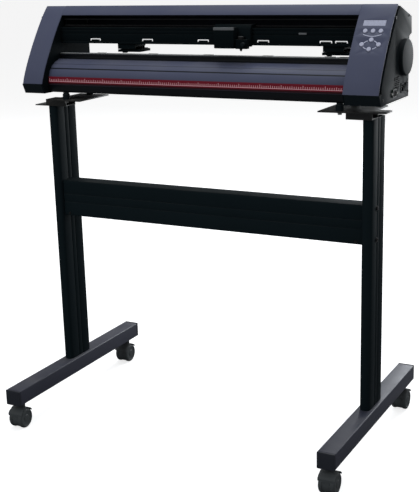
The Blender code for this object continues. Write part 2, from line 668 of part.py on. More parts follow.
def make_pinch_rollers():
    """Each pinch roller: a bracket under the rail, a lifting arm and a rubber roller."""
    pivot_y, pivot_z = PINCH_PIVOT
    roller_z = SHAFT_Z + GRIT_RADIUS + GAP + PINCH_RADIUS
    hanger = [(4, 888.5), (4, 900.6), (46.4, 900.6), (46.4, 925), (54, 925), (54, 893.5), (9, 893.5), (9, 888.5)]
    hanger = [(y * MM, z * MM) for y, z in hanger]
    for side, x in PINCH_X.items():
        origin = (x, pivot_y, pivot_z)
        low, high = x - 7 * MM, x + 39 * MM
        bracket = extruded("pinch_bracket_" + side, hanger, "X", low, high, black_metal(), origin=origin)
        cut_turned(bracket, "pivot", rod(3 * MM, -20 * MM, 60 * MM), origin, (1, 0, 0), 24)
        plate = rectangle((x - 12 * MM, 12 * MM), (x + 48 * MM, 60 * MM))
        arm = extruded("pinch_arm_" + side, plate, "Z", 881 * MM, 886.5 * MM, black_plastic(), origin=origin)
        web = rectangle((pivot_y - 1.8 * MM, 886 * MM), (pivot_y + 1.8 * MM, pivot_z))
        add_prism(arm, "web", web, "X", x - 6 * MM, x + 38 * MM)
        add_turned(arm, "pin", rod(2.5 * MM, -7 * MM, 39 * MM), origin, (1, 0, 0), 16)
        add_prism(arm, "tail", rectangle((58 * MM, 882 * MM), (84 * MM, 886 * MM), MM, 1), "X", x + 12 * MM, x + 28 * MM)
        half = PINCH_WIDTH / 2
        slot = rectangle((x - half - 0.6 * MM, 17.4 * MM), (x + half + 0.6 * MM, 30.6 * MM))
        cut_prism(arm, "slot", slot, "Z", 880 * MM, 888 * MM)
        reach = half + 3 * MM
        centre = (x, SHAFT_Y, roller_z)
        cut_turned(arm, "axle", rod(2.1 * MM, -reach - 0.4 * MM, reach + 0.4 * MM), centre, (1, 0, 0), 16)
        profile = [(0, -reach), (1.8 * MM, -reach), (1.8 * MM, -half), (PINCH_RADIUS, -half)]
        profile += [(PINCH_RADIUS, half), (1.8 * MM, half), (1.8 * MM, reach), (0, reach)]
        rubber = material("roller_rubber", (0.02, 0.02, 0.02), 0.8)
        lathed("pinch_roller_" + side, profile, centre, (1, 0, 0), rubber, 24)


# Carriage


def make_carriage():
    """The carriage on the rail, its cover, and the tool slide that presses the blade down."""
    back = RAIL_FRONT - GAP
    over = RAIL_TOP + 0.4 * MM
    frame = [(CARRIAGE_FRONT, 899 * MM), (back, 899 * MM), (back, over), (24 * MM, over), (24 * MM, 946 * MM)]
    frame += [(-6 * MM, 946 * MM), (CARRIAGE_FRONT, 936 * MM)]
    belt_low = BELT_Z - BELT_RADIUS - BELT_THICK
    slot = rectangle((BELT_Y[0] - 0.4 * MM, belt_low - 0.4 * MM), (BELT_Y[1] + 0.4 * MM, belt_low + BELT_THICK + 0.4 * MM))
    extruded("carriage_body", frame, "X", *CARRIAGE_X, black_metal(), holes=[slot])
    rear = CARRIAGE_FRONT - GAP
    nose = [(rear, 896 * MM), (-33 * MM, 896 * MM), (-34 * MM, 898 * MM), (-34 * MM, 936 * MM), (-32.5 * MM, 939.5 * MM)]
    nose += [(-29 * MM, 941 * MM), (rear, 941 * MM)]
    cover = extruded("carriage_cover", nose, "X", *COVER_X, black_plastic())
    room = [(rear + MM, 898 * MM), (-32 * MM, 898 * MM), (-32 * MM, 936 * MM), (-29 * MM, 939 * MM), (rear + MM, 939 * MM)]
    cut_prism(cover, "room", room, "X", COVER_X[0] + 2 * MM, COVER_X[1] - 2 * MM)
    block = rectangle((SLIDE_X[0], -28 * MM), (SLIDE_X[1], rear), 1.5 * MM, 2)
    bore = circle((BLADE_X, BLADE_Y), 5.3 * MM, 24)
    slide = extruded("tool_slide", block, "Z", 895 * MM, 915 * MM, black_plastic(), holes=[bore])
    knob = (113 * MM, -28 * MM, 905 * MM)
    cut_turned(slide, "knob", rod(2.3 * MM, -4.5 * MM, MM), knob, (0, -1, 0), 16)
    profile = [(0, -4 * MM), (2 * MM, -4 * MM), (2 * MM, GAP), (4.5 * MM, GAP), (4.5 * MM, 7 * MM), (3.8 * MM, 8 * MM), (0, 8 * MM)]
    lathed("clamp_knob", profile, knob, (0, -1, 0), black_plastic(), 24)
    holder = [(0, 889), (0.8, 889.5), (3, 892), (3, 894), (5, 895), (5, 915.4), (7, 915.4), (7, 921), (6, 922), (0, 922)]
    holder = [(r * MM, z * MM) for r, z in holder]
    lathed("blade_holder", holder, (BLADE_X, BLADE_Y, 0), (0, 0, 1), steel(), 24)


def make_carriage_drive():
    """The toothed belt along the rail, its two pulleys and the carriage motor."""
    loops = []
    for radius in (BELT_RADIUS + BELT_THICK, BELT_RADIUS):
        loop = []
        for centre, start in ((DRIVE_X, -90), (IDLER_X, 90)):
            for step in range(13):
                turn = math.radians(start + 15 * step)
                loop.append((centre + radius * math.cos(turn), BELT_Z + radius * math.sin(turn)))
        loops.append(loop)
    rubber = material("belt_rubber", (0.015, 0.015, 0.015), 0.7)
    extruded("drive_belt", loops[0], "Y", *BELT_Y, rubber, holes=[loops[1]])
    groove = BELT_RADIUS - GAP
    flange = 8.5 * MM
    low = BELT_Y[0] - 0.6 * MM
    high = BELT_Y[1] + 0.6 * MM
    for name, x, tail in (("drive_pulley", DRIVE_X, 25.6 * MM), ("idler_pulley", IDLER_X, 30 * MM)):
        profile = [(0, low - 1.4 * MM), (flange, low - 1.4 * MM), (flange, low), (groove, low), (groove, high)]
        profile += [(flange, high), (flange, high + 1.4 * MM), (2.5 * MM, high + 1.4 * MM), (2.5 * MM, tail), (0, tail)]
        lathed(name, profile, (x, 0, BELT_Z), (0, 1, 0), steel(), 24)
    half = 19 * MM
    case = rectangle((DRIVE_X - half, BELT_Z - half), (DRIVE_X + half, BELT_Z + half), 4 * MM)
    extruded("carriage_motor", case, "Y", 26 * MM, 62 * MM, black_metal())


# Control panel and sockets


def make_panel():
    """The display window, three round keys and four arrow keys, all square to the face."""
    screen = face_block(SCREEN_Z[0] + 0.4 * MM, SCREEN_Z[1] - 0.4 * MM, 3 * MM, -0.6 * MM)
    glass = material("display_window", (0.35, 0.38, 0.45), 0.15)
    extruded("lcd_window", screen, "X", SCREEN_X[0] + 0.4 * MM, SCREEN_X[1] - 0.4 * MM, glass)
    cap = material("key_cap", (0.5, 0.5, 0.62), 0.5)
    radius = BUTTON_RADIUS
    profile = [(0, -4 * MM), (radius, -4 * MM), (radius, 1.2 * MM), (radius - 0.7 * MM, 1.8 * MM), (0, 1.8 * MM)]
    for kind, keys in (("button", ROUND_BUTTONS), ("arrow_button", ARROW_BUTTONS)):
        for name, (x, z) in keys.items():
            (y, z), normal = face_point(z)
            lathed(f"{kind}_{name}", profile, (x, y, z), (0, *normal), cap, 24)


def make_electronics():
    """The circuit board with its data socket, the power inlet and the rocker switch."""
    green = material("circuit_board", (0.02, 0.12, 0.05), 0.5)
    board = rectangle((372 * MM, -70 * MM), (436 * MM, 80 * MM))
    pcb = extruded("mainboard", board, "Z", 796 * MM, 797.6 * MM, green)
    (y0, _), (y1, z1) = DATA_PORT
    socket = rectangle((y0 + 0.4 * MM, 797.2 * MM + GAP), (y1 - 0.4 * MM, z1 - 0.4 * MM))
    add_prism(pcb, "socket", socket, "X", 422 * MM, 444.3 * MM)
    mouth = rectangle((y0 + 2.4 * MM, 801 * MM), (y1 - 2.4 * MM, z1 - 2.4 * MM))
    cut_prism(pcb, "mouth", mouth, "X", 434 * MM, 446 * MM)
    (y0, z0), (y1, z1) = INLET_PORT
    shell = rectangle((y0 + 0.4 * MM, z0 + 0.4 * MM), (y1 - 0.4 * MM, z1 - 0.4 * MM), 2 * MM)
    inlet = extruded("power_inlet", shell, "X", 422 * MM, 445 * MM, black_plastic())
    mouth = rectangle((y0 + 3 * MM, z0 + 4 * MM), (y1 - 3 * MM, z1 - 4 * MM), 2 * MM)
    cut_prism(inlet, "mouth", mouth, "X", 430 * MM, 446 * MM)
    (y0, z0), (y1, z1) = SWITCH_PORT
    middle = (z0 + z1) / 2
    rocker = [(438, 2.5), (443, 8.2), (447, 8.2), (445.2, 0), (444.6, -8.2), (443, -8.2), (438, -2.5)]
    rocker = [(x * MM, middle + z * MM) for x, z in rocker]
    origin = (441 * MM, (y0 + y1) / 2, middle)
    extruded("power_switch", rocker, "Y", y0 + 0.6 * MM, y1 - 0.6 * MM, black_plastic(), origin=origin)


def main():
    clear_scene()
    make_feet()
    make_uprights()
    make_crossbeam()
    make_brackets()
    make_machine_pads()
    make_casters()
    make_side_plates()
    make_end_covers()
    make_fascias()
    make_top_cover()
    make_platen()
    make_rail()
    make_feed()
    make_pinch_rollers()
    make_carriage()
    make_carriage_drive()
    make_panel()
    make_electronics()


main()
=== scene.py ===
"""Vinyl cutter on a wheeled stand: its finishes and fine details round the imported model.

Laid out as an add-on and run as a script. Every length is in metres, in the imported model's frame:
X runs along the rail, -Y is the operator's side and Z = 0 is the floor.
"""

import json
import math

import bmesh
import bpy
from bpy.props import FloatProperty, FloatVectorProperty, IntProperty, PointerProperty
from mathutils import Matrix, Vector

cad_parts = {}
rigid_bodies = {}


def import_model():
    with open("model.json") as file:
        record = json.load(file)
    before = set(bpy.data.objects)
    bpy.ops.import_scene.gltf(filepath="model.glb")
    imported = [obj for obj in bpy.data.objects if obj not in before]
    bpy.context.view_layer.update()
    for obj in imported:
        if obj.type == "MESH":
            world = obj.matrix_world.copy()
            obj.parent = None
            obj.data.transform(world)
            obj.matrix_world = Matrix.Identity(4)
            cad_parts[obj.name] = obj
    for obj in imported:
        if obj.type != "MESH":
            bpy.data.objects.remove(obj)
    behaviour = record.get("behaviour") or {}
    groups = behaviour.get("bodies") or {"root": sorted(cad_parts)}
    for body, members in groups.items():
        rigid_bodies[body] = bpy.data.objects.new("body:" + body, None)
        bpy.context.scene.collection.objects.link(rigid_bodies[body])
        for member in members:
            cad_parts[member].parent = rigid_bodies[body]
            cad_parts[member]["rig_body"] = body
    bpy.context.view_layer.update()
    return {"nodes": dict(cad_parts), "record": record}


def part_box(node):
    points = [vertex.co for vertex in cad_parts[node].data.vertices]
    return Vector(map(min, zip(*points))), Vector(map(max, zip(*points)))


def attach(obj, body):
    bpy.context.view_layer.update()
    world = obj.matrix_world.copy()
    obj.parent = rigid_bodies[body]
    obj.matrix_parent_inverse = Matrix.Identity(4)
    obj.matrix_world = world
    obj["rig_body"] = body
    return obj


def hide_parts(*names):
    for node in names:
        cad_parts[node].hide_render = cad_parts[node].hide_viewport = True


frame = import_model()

bl_info = {
    "name": "Vinyl Cutter Finisher",
    "version": (1, 0, 0),
    "blender": (4, 5, 0),
    "location": "3D View > Sidebar > Cutter",
    "description": "Adds the finishes, fasteners, scales and trim of a floor-standing vinyl cutter",
    "category": "Add Mesh",
}

MM = 0.001
SLOT_OF = {row["node"]: row["material_slot"] for row in frame["record"]["subparts"]}
LOOK_OF = {
    "foot_": "foot_coat",
    "upright_": "upright_coat",
    "crossbeam": "upright_coat",
    "blade_holder": "black_oxide",
    "caster_": "caster_grey",
    "support_bracket_": "bracket_coat",
    "guide_rail": "dull_black",
    "side_plate_": "dull_black",
    "pinch_": "dull_black",
    "carriage_": "dull_black",
    "tool_slide": "dull_black",
    "base_platen": "platen_skin",
    "top_cover": "top_skin",
}
BODY_OF = {node: item["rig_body"] for node, item in frame["nodes"].items()}

# The studio camera
EYE = (1.1367, -2.1348, 1.0858)
YAW = math.radians(28.031)
PITCH = math.radians(15.113)
ROLL = math.radians(-1.608)
LENS = 77.65


# Fixed places on the stand and the casing; the others are read from the frame
CROSSBEAM_SCREW_X = 374 * MM
STAND_BOLT_INSET = 9 * MM
STAND_BOLT_Y = -6 * MM
BRACKET_BOLT_X = 345.5 * MM
BRACKET_BOLT_Y = (-54 * MM, 45 * MM)
COVER_SCREWS = ((-70 * MM, 800 * MM), (96 * MM, 800 * MM), (96 * MM, 960 * MM), (6 * MM, 960 * MM))
TOP_SCREW_COUNT = 5
# where the small pale patch on the rail begins and ends along X
PALE_PATCH_X = (232 * MM, 250 * MM)
SOCKET_WALL_X = 443.5 * MM
SIDE_WALL_X = 444 * MM
VENT_Y = 17 * MM
INLET_PINS = ((-4, 1.5), (4, 1.5), (0, -2.5))
PINCH_SPRING = (49.5 * MM, 886.9 * MM)
SINK = 0.2 * MM


# Settings that a user may change


class CutterSizes(bpy.types.PropertyGroup):
    """Sizes of the fine details"""

    edge_round: FloatProperty(
        name="Edge Rounding", description="Radius on sheet and extrusion edges", default=0.0008, unit="LENGTH"
    )
    cap_depth: FloatProperty(
        name="Foot Cap Depth", description="Thickness of the plastic cap on each foot tube", default=0.005,
        unit="LENGTH",
    )
    tick_pitch: FloatProperty(
        name="Tick Pitch", description="Distance between ruler ticks", default=0.005, unit="LENGTH"
    )
    tick_width: FloatProperty(
        name="Tick Width", description="Width of one ruler tick", default=0.0012, unit="LENGTH"
    )
    mark_stroke: FloatProperty(
        name="Mark Stroke", description="Line width of the rail's roller marks", default=0.0022, unit="LENGTH"
    )
    screw_radius: FloatProperty(
        name="Screw Radius", description="Radius of a cover screw's head", default=0.0028, unit="LENGTH"
    )
    bolt_radius: FloatProperty(
        name="Bolt Radius", description="Radius of a stand bolt's head", default=0.0048, unit="LENGTH"
    )
    vent_count: IntProperty(name="Vent Slots", description="Slots in the side vent", default=6, min=1)
    knurl_pitch: FloatProperty(
        name="Knurl Pitch", description="Distance between points on a grit drum", default=0.0018,
        unit="LENGTH",
    )
    tooth_pitch: FloatProperty(
        name="Belt Pitch", description="Distance between the belt's teeth", default=0.003, unit="LENGTH"
    )


class CutterColours(bpy.types.PropertyGroup):
    """Colours of the finishes"""

    slate: FloatVectorProperty(
        name="Slate", description="Moulded front skins", default=(0.108, 0.121, 0.198), subtype="COLOR"
    )
    black: FloatVectorProperty(
        name="Black", description="Powder coat of the stand", default=(0.011, 0.019, 0.023), subtype="COLOR"
    )
    shell: FloatVectorProperty(
        name="Shell", description="Side shells", default=(0.012, 0.018, 0.022), subtype="COLOR"
    )
    ruler: FloatVectorProperty(
        name="Ruler", description="Ruler strip", default=(0.25, 0.009, 0.026), subtype="COLOR"
    )
    ink: FloatVectorProperty(
        name="Ink", description="Printed lines and key caps", default=(0.62, 0.64, 0.8), subtype="COLOR"
    )
    marks: FloatVectorProperty(
        name="Marks", description="White marks and ticks", default=(0.95, 0.95, 0.95), subtype="COLOR"
    )
    floor: FloatVectorProperty(
        name="Floor", description="Studio floor", default=(0.86, 0.86, 0.865), subtype="COLOR"
    )


# Shader building


SOCKET_KINDS = {float: "NodeSocketFloat", int: "NodeSocketInt", tuple: "NodeSocketVector"}


def shader_tree(name, inputs, outputs):
    """An empty shader group with named sockets, and its two end nodes. Its outputs are numbers."""
    tree = bpy.data.node_groups.new(name, "ShaderNodeTree")
    for label, value in inputs.items():
        socket = tree.interface.new_socket(label, in_out="INPUT", socket_type=SOCKET_KINDS[type(value)])
        socket.default_value = value
    for label in outputs:
        tree.interface.new_socket(label, in_out="OUTPUT", socket_type="NodeSocketFloat")
    return tree, tree.nodes.new("NodeGroupInput"), tree.nodes.new("NodeGroupOutput")


def add_node(tree, kind, settings=None, **sockets):
    """A node with its settings and socket values; a socket value may be another node's output."""
    made = tree.nodes.new(kind)
    for key, value in (settings or {}).items():
        setattr(made, key, value)
    for key, value in sockets.items():
        name = key.replace("_", " ")
        target = made.inputs[int(name[1:])] if name[0] == "n" and name[1:].isdigit() else made.inputs[name]
        if isinstance(value, bpy.types.NodeSocket):
            tree.links.new(value, target)
        else:
            target.default_value = value
    return made


def math_node(tree, operation, first, second=0.5, clamp=False):
    node = add_node(tree, "ShaderNodeMath", {"operation": operation, "use_clamp": clamp}, n0=first, n1=second)
    return node.outputs[0]


def vector_node(tree, **parts):
    return add_node(tree, "ShaderNodeCombineXYZ", **parts).outputs[0]


def link_base(tree, mask, colour):
    """Lays a colour over a finish's base colour wherever the mask is 1."""
    socket = tree.nodes["Principled BSDF"].inputs["Base Color"]
    tree.links.new(mix(tree, mask, socket.links[0].from_socket, colour), socket)


def object_place(tree):
    return add_node(tree, "ShaderNodeTexCoord").outputs["Object"]


def grain_group():
    """Fine moulded or sprayed texture: a height for bump and a slow tone variation."""
    inputs = {"Scale": 1500.0, "Tone Scale": 9.0, "Stretch": (1, 1, 1)}
    tree, start, end = shader_tree("fine_grain", inputs, ("Height", "Tone"))
    place = object_place(tree)
    place = add_node(tree, "ShaderNodeMapping", Vector=place, Scale=start.outputs["Stretch"]).outputs[0]
    fine = add_node(tree, "ShaderNodeTexNoise", Vector=place, Scale=start.outputs["Scale"], Detail=3.0)
    slow = add_node(tree, "ShaderNodeTexNoise", Vector=place, Scale=start.outputs["Tone Scale"], Detail=4.0)
    tree.links.new(fine.outputs["Fac"], end.inputs["Height"])
    tree.links.new(slow.outputs["Fac"], end.inputs["Tone"])
    return tree


def wear_group():
    """A mask of handled edges, broken up by noise."""
    tree, start, end = shader_tree("edge_wear", {"Radius": 0.0012, "Amount": 0.5}, ("Mask",))
    soft = add_node(tree, "ShaderNodeBevel", {"samples": 4}, Radius=start.outputs["Radius"]).outputs[0]
    sharp = add_node(tree, "ShaderNodeNewGeometry").outputs["Normal"]
    dot = add_node(tree, "ShaderNodeVectorMath", {"operation": "DOT_PRODUCT"}, n0=soft, n1=sharp)
    edge = math_node(tree, "SUBTRACT", 1.0, dot.outputs["Value"])
    edge = math_node(tree, "MULTIPLY", edge, 4.0, True)
    place = object_place(tree)
    noise = add_node(tree, "ShaderNodeTexNoise", Vector=place, Scale=60.0, Detail=5.0).outputs["Fac"]
    broken = math_node(tree, "MULTIPLY", edge, noise)
    scaled = math_node(tree, "MULTIPLY", broken, start.outputs["Amount"], True)
    tree.links.new(scaled, end.inputs["Mask"])
    return tree


def dust_group():
    """A mask of dust that settles on faces that look up."""
    tree, start, end = shader_tree("settled_dust", {"Scale": 14.0, "Amount": 0.3}, ("Mask",))
    normal = add_node(tree, "ShaderNodeNewGeometry").outputs["Normal"]
    up = add_node(tree, "ShaderNodeSeparateXYZ", Vector=normal).outputs["Z"]
    up = math_node(tree, "POWER", math_node(tree, "MAXIMUM", up, 0.0), 3.0)
    place = object_place(tree)
    noise = add_node(tree, "ShaderNodeTexNoise", Vector=place, Scale=start.outputs["Scale"], Detail=6.0)
    cloud = add_node(tree, "ShaderNodeMapRange", Value=noise.outputs["Fac"], From_Min=0.35, From_Max=0.75)
    mask = math_node(tree, "MULTIPLY", up, cloud.outputs[0])
    tree.links.new(math_node(tree, "MULTIPLY", mask, start.outputs["Amount"], True), end.inputs["Mask"])
    return tree


GROUPS = {}


def group(name):
    makers = {"fine_grain": grain_group, "edge_wear": wear_group, "settled_dust": dust_group}
    if name not in GROUPS:
        GROUPS[name] = makers[name]()
    return GROUPS[name]


def place_group(tree, name, **sockets):
    node = add_node(tree, "ShaderNodeGroup", {"node_tree": group(name)})
    for key, value in sockets.items():
        node.inputs[key.replace("_", " ")].default_value = value
    return node


def mix(tree, factor, first, second):
    """A colour mix; each of the two may be a colour or an output."""
    node = add_node(tree, "ShaderNodeMix", {"data_type": "RGBA"})
    for socket, value in ((node.inputs[0], factor), (node.inputs[6], first), (node.inputs[7], second)):
        if isinstance(value, bpy.types.NodeSocket):
            tree.links.new(value, socket)
        else:
            socket.default_value = value
    return node.outputs[2]


def rgba(colour, gain=1.0):
    return (*[min(1.0, channel * gain) for channel in colour], 1.0)


def finish_material(name, colour, roughness, metallic=0.0, scale=1500.0, depth=0.00004, spread=0.18,
                    wear=0.35,
                    dust=0.25, coat=0.0, stretch=(1, 1, 1), specular=0.35):
    """A moulded, sprayed or machined finish: grain, slow tone, worn edges and a little dust."""
    made = bpy.data.materials.new("finish_" + name)
    made.use_nodes = True
    tree = made.node_tree
    shader = tree.nodes["Principled BSDF"]
    shader.inputs["Metallic"].default_value = metallic
    shader.inputs["Coat Weight"].default_value = coat
    shader.inputs["Coat Roughness"].default_value = 0.25
    shader.inputs["Specular IOR Level"].default_value = specular
    grain = place_group(tree, "fine_grain", Scale=scale, Stretch=stretch)
    worn = place_group(tree, "edge_wear", Amount=wear).outputs["Mask"]
    dusty = place_group(tree, "settled_dust", Amount=dust).outputs["Mask"]
    body = mix(tree, grain.outputs["Tone"], rgba(colour, 1 - spread), rgba(colour, 1 + spread))
    lifted = [channel + 0.06 for channel in colour]
    body = mix(tree, worn, body, rgba(lifted, 1.6))
    body = mix(tree, dusty, body, (0.32, 0.31, 0.3, 1.0))
    tree.links.new(body, shader.inputs["Base Color"])
    rough = add_node(tree, "ShaderNodeMapRange", Value=grain.outputs["Tone"], To_Min=roughness - 0.06,
                     To_Max=roughness + 0.08)
    tree.links.new(math_node(tree, "ADD", rough.outputs[0], dusty, True), shader.inputs["Roughness"])
    bump = add_node(tree, "ShaderNodeBump", Height=grain.outputs["Height"], Strength=1.0, Distance=depth)
    tree.links.new(bump.outputs[0], shader.inputs["Normal"])
    return made


def ink_material(name, colour, roughness=0.5, painted_glow=0.0):
    """Screen-printed ink: even colour with slight mottling, and a painted glow: emission that makes the print
    shine though it is no lamp.
    """
    made = finish_material(name, colour, roughness, scale=2500.0, depth=0.00001, spread=0.07, wear=0.0,
                           dust=0.05)
    shader = made.node_tree.nodes["Principled BSDF"]
    # painted glow: the ink emits light in its own colour
    shader.inputs["Emission Color"].default_value = rgba(colour)
    shader.inputs["Emission Strength"].default_value = painted_glow
    return made


def band(tree, value, low, high, soft=0.0004):
    """1 between two levels of a value and 0 outside them, with soft edges."""
    rise = add_node(tree, "ShaderNodeMapRange", Value=value, From_Min=low - soft,
                    From_Max=low + soft).outputs[0]
    fall = add_node(tree, "ShaderNodeMapRange", Value=value, From_Min=high - soft,
                    From_Max=high + soft).outputs[0]
    return math_node(tree, "SUBTRACT", rise, fall, True)


def banded_material(name, colour, dark, node, low, high):
    """A finish that turns to a darker one between two heights over the node's foot."""
    made = finish_material(name, colour, 0.42, scale=1500, spread=0.06, dust=0.1)
    tree = made.node_tree
    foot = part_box(node)[0].z
    place = object_place(tree)
    level = add_node(tree, "ShaderNodeSeparateXYZ", Vector=place).outputs["Z"]
    mask = band(tree, level, foot + low, foot + high)
    link_base(tree, mask, rgba(dark))
    return made


def platen_material(colour):
    """The base's skin: slate, darker below the ruler, with painted shade in the recess under the cutting
    strip, a painted shade line along the front's groove and a fainter dark line above it.
    """
    made = finish_material("platen_skin", colour, 0.4, scale=1800, spread=0.05)
    tree = made.node_tree
    low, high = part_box("ruler_strip")
    strip_low, strip_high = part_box("cutting_strip")
    place = object_place(tree)
    level = add_node(tree, "ShaderNodeSeparateXYZ", Vector=place).outputs["Z"]
    depth = add_node(tree, "ShaderNodeSeparateXYZ", Vector=place).outputs["Y"]
    front = math_node(tree, "LESS_THAN", depth, strip_high.y)
    chin = math_node(tree, "MULTIPLY", band(tree, level, 0.0, low.z - 0.0008), front)
    # painted shade in the recess under the cutting strip's front edge
    wall = math_node(tree, "MULTIPLY", band(tree, level, strip_low.z - 0.0085, strip_low.z + 0.001), front)
    # painted shade: a dark line along the groove in the front
    groove_shade_line = math_node(tree, "MULTIPLY", band(tree, level, high.z + 0.0168, high.z + 0.0192, 0.0003), front)
    faint = math_node(tree, "MULTIPLY", band(tree, level, high.z + 0.027, high.z + 0.0283, 0.0003), front)
    dark = math_node(tree, "MAXIMUM", chin, wall)
    dark = math_node(tree, "MAXIMUM", dark, groove_shade_line)
    dark = math_node(tree, "MAXIMUM", dark, math_node(tree, "MULTIPLY", faint, 0.45))
    # near-black laid on: darker skin below the ruler, painted shade in the strip's recess and along the
    # groove, and the fainter line
    link_base(tree, dark, (0.006, 0.008, 0.011, 1))
    return made


def top_material(colour):
    """The top cover's skin: slate outside, with painted shade on the faces that look down and on the
    forward-looking faces deep inside, laid on as plain black.
    """
    made = finish_material("top_skin", colour, 0.42, scale=1800, spread=0.05)
    tree = made.node_tree
    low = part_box("top_cover")[0]
    normal = add_node(tree, "ShaderNodeNewGeometry").outputs["Normal"]
    facing = add_node(tree, "ShaderNodeSeparateXYZ", Vector=normal)
    place = object_place(tree)
    depth = add_node(tree, "ShaderNodeSeparateXYZ", Vector=place).outputs["Y"]
    # painted shade: masks of the down-facing faces and of the deep inner faces, which are given near-black
    under = math_node(tree, "LESS_THAN", facing.outputs["Z"], -0.15)
    inward = math_node(tree, "LESS_THAN", facing.outputs["Y"], -0.15)
    inside = math_node(tree, "MULTIPLY", inward, math_node(tree, "GREATER_THAN", depth, low.y + 0.04))
    dark = math_node(tree, "MAXIMUM", under, inside)
    link_base(tree, dark, (0.006, 0.009, 0.011, 1))
    return made


def display_material(colour):
    """A lit character display behind a window: a fine dot grid in two blocks of rows."""
    made = bpy.data.materials.new("display_dots")
    made.use_nodes = True
    tree = made.node_tree
    shader = tree.nodes["Principled BSDF"]
    place = object_place(tree)
    turned = add_node(tree, "ShaderNodeMapping", Vector=place, Rotation=(math.radians(-55), 0, 0)).outputs[0]
    dots = add_node(tree, "ShaderNodeTexBrick", {"offset": 0.0}, Vector=turned, Scale=1.0,
                    Mortar_Size=0.00012,
                    Brick_Width=0.0006, Row_Height=0.0007, Color1=rgba(colour), Color2=rgba(colour, 0.93),
                    Mortar=rgba(colour, 0.7))
    cells = add_node(tree, "ShaderNodeTexBrick", {"offset": 0.0}, Vector=turned, Scale=1.0,
                     Mortar_Size=0.0006,
                     Brick_Width=0.0034, Row_Height=0.0055, Color1=(0.75, 0.75, 0.75, 1), Color2=(1, 1, 1, 1),
                     Mortar=(1.0, 1.0, 1.0, 1))
    both = add_node(tree, "ShaderNodeMix", {"data_type": "RGBA", "blend_type": "MULTIPLY"})
    both.inputs[0].default_value = 0.6
    tree.links.new(dots.outputs["Color"], both.inputs[6])
    tree.links.new(cells.outputs["Color"], both.inputs[7])
    tree.links.new(both.outputs[2], shader.inputs["Base Color"])
    shader.inputs["Roughness"].default_value = 0.2
    shader.inputs["Coat Weight"].default_value = 0.4
    shader.inputs["Emission Color"].default_value = rgba(colour)
    shader.inputs["Emission Strength"].default_value = 0.15
    return made


def board_material():
    """A printed circuit board: solder mask over faint copper tracks."""
    made = bpy.data.materials.new("circuit_tracks")
    made.use_nodes = True
    tree = made.node_tree
    shader = tree.nodes["Principled BSDF"]
    place = object_place(tree)
    cells = add_node(tree, "ShaderNodeTexVoronoi", {"distance": "CHEBYCHEV", "feature": "DISTANCE_TO_EDGE"},
                     Vector=place, Scale=260.0)
    edge = add_node(tree, "ShaderNodeMapRange", Value=cells.outputs["Distance"], From_Min=0.03, From_Max=0.06)
    body = mix(tree, edge.outputs[0], (0.03, 0.2, 0.07, 1), (0.012, 0.09, 0.035, 1))
    tree.links.new(body, shader.inputs["Base Color"])
    shader.inputs["Roughness"].default_value = 0.35
    bump = add_node(tree, "ShaderNodeBump", Height=edge.outputs[0], Strength=0.4, Distance=0.00005)
    bump.invert = True
    tree.links.new(bump.outputs[0], shader.inputs["Normal"])
    return made


MATERIALS = {}


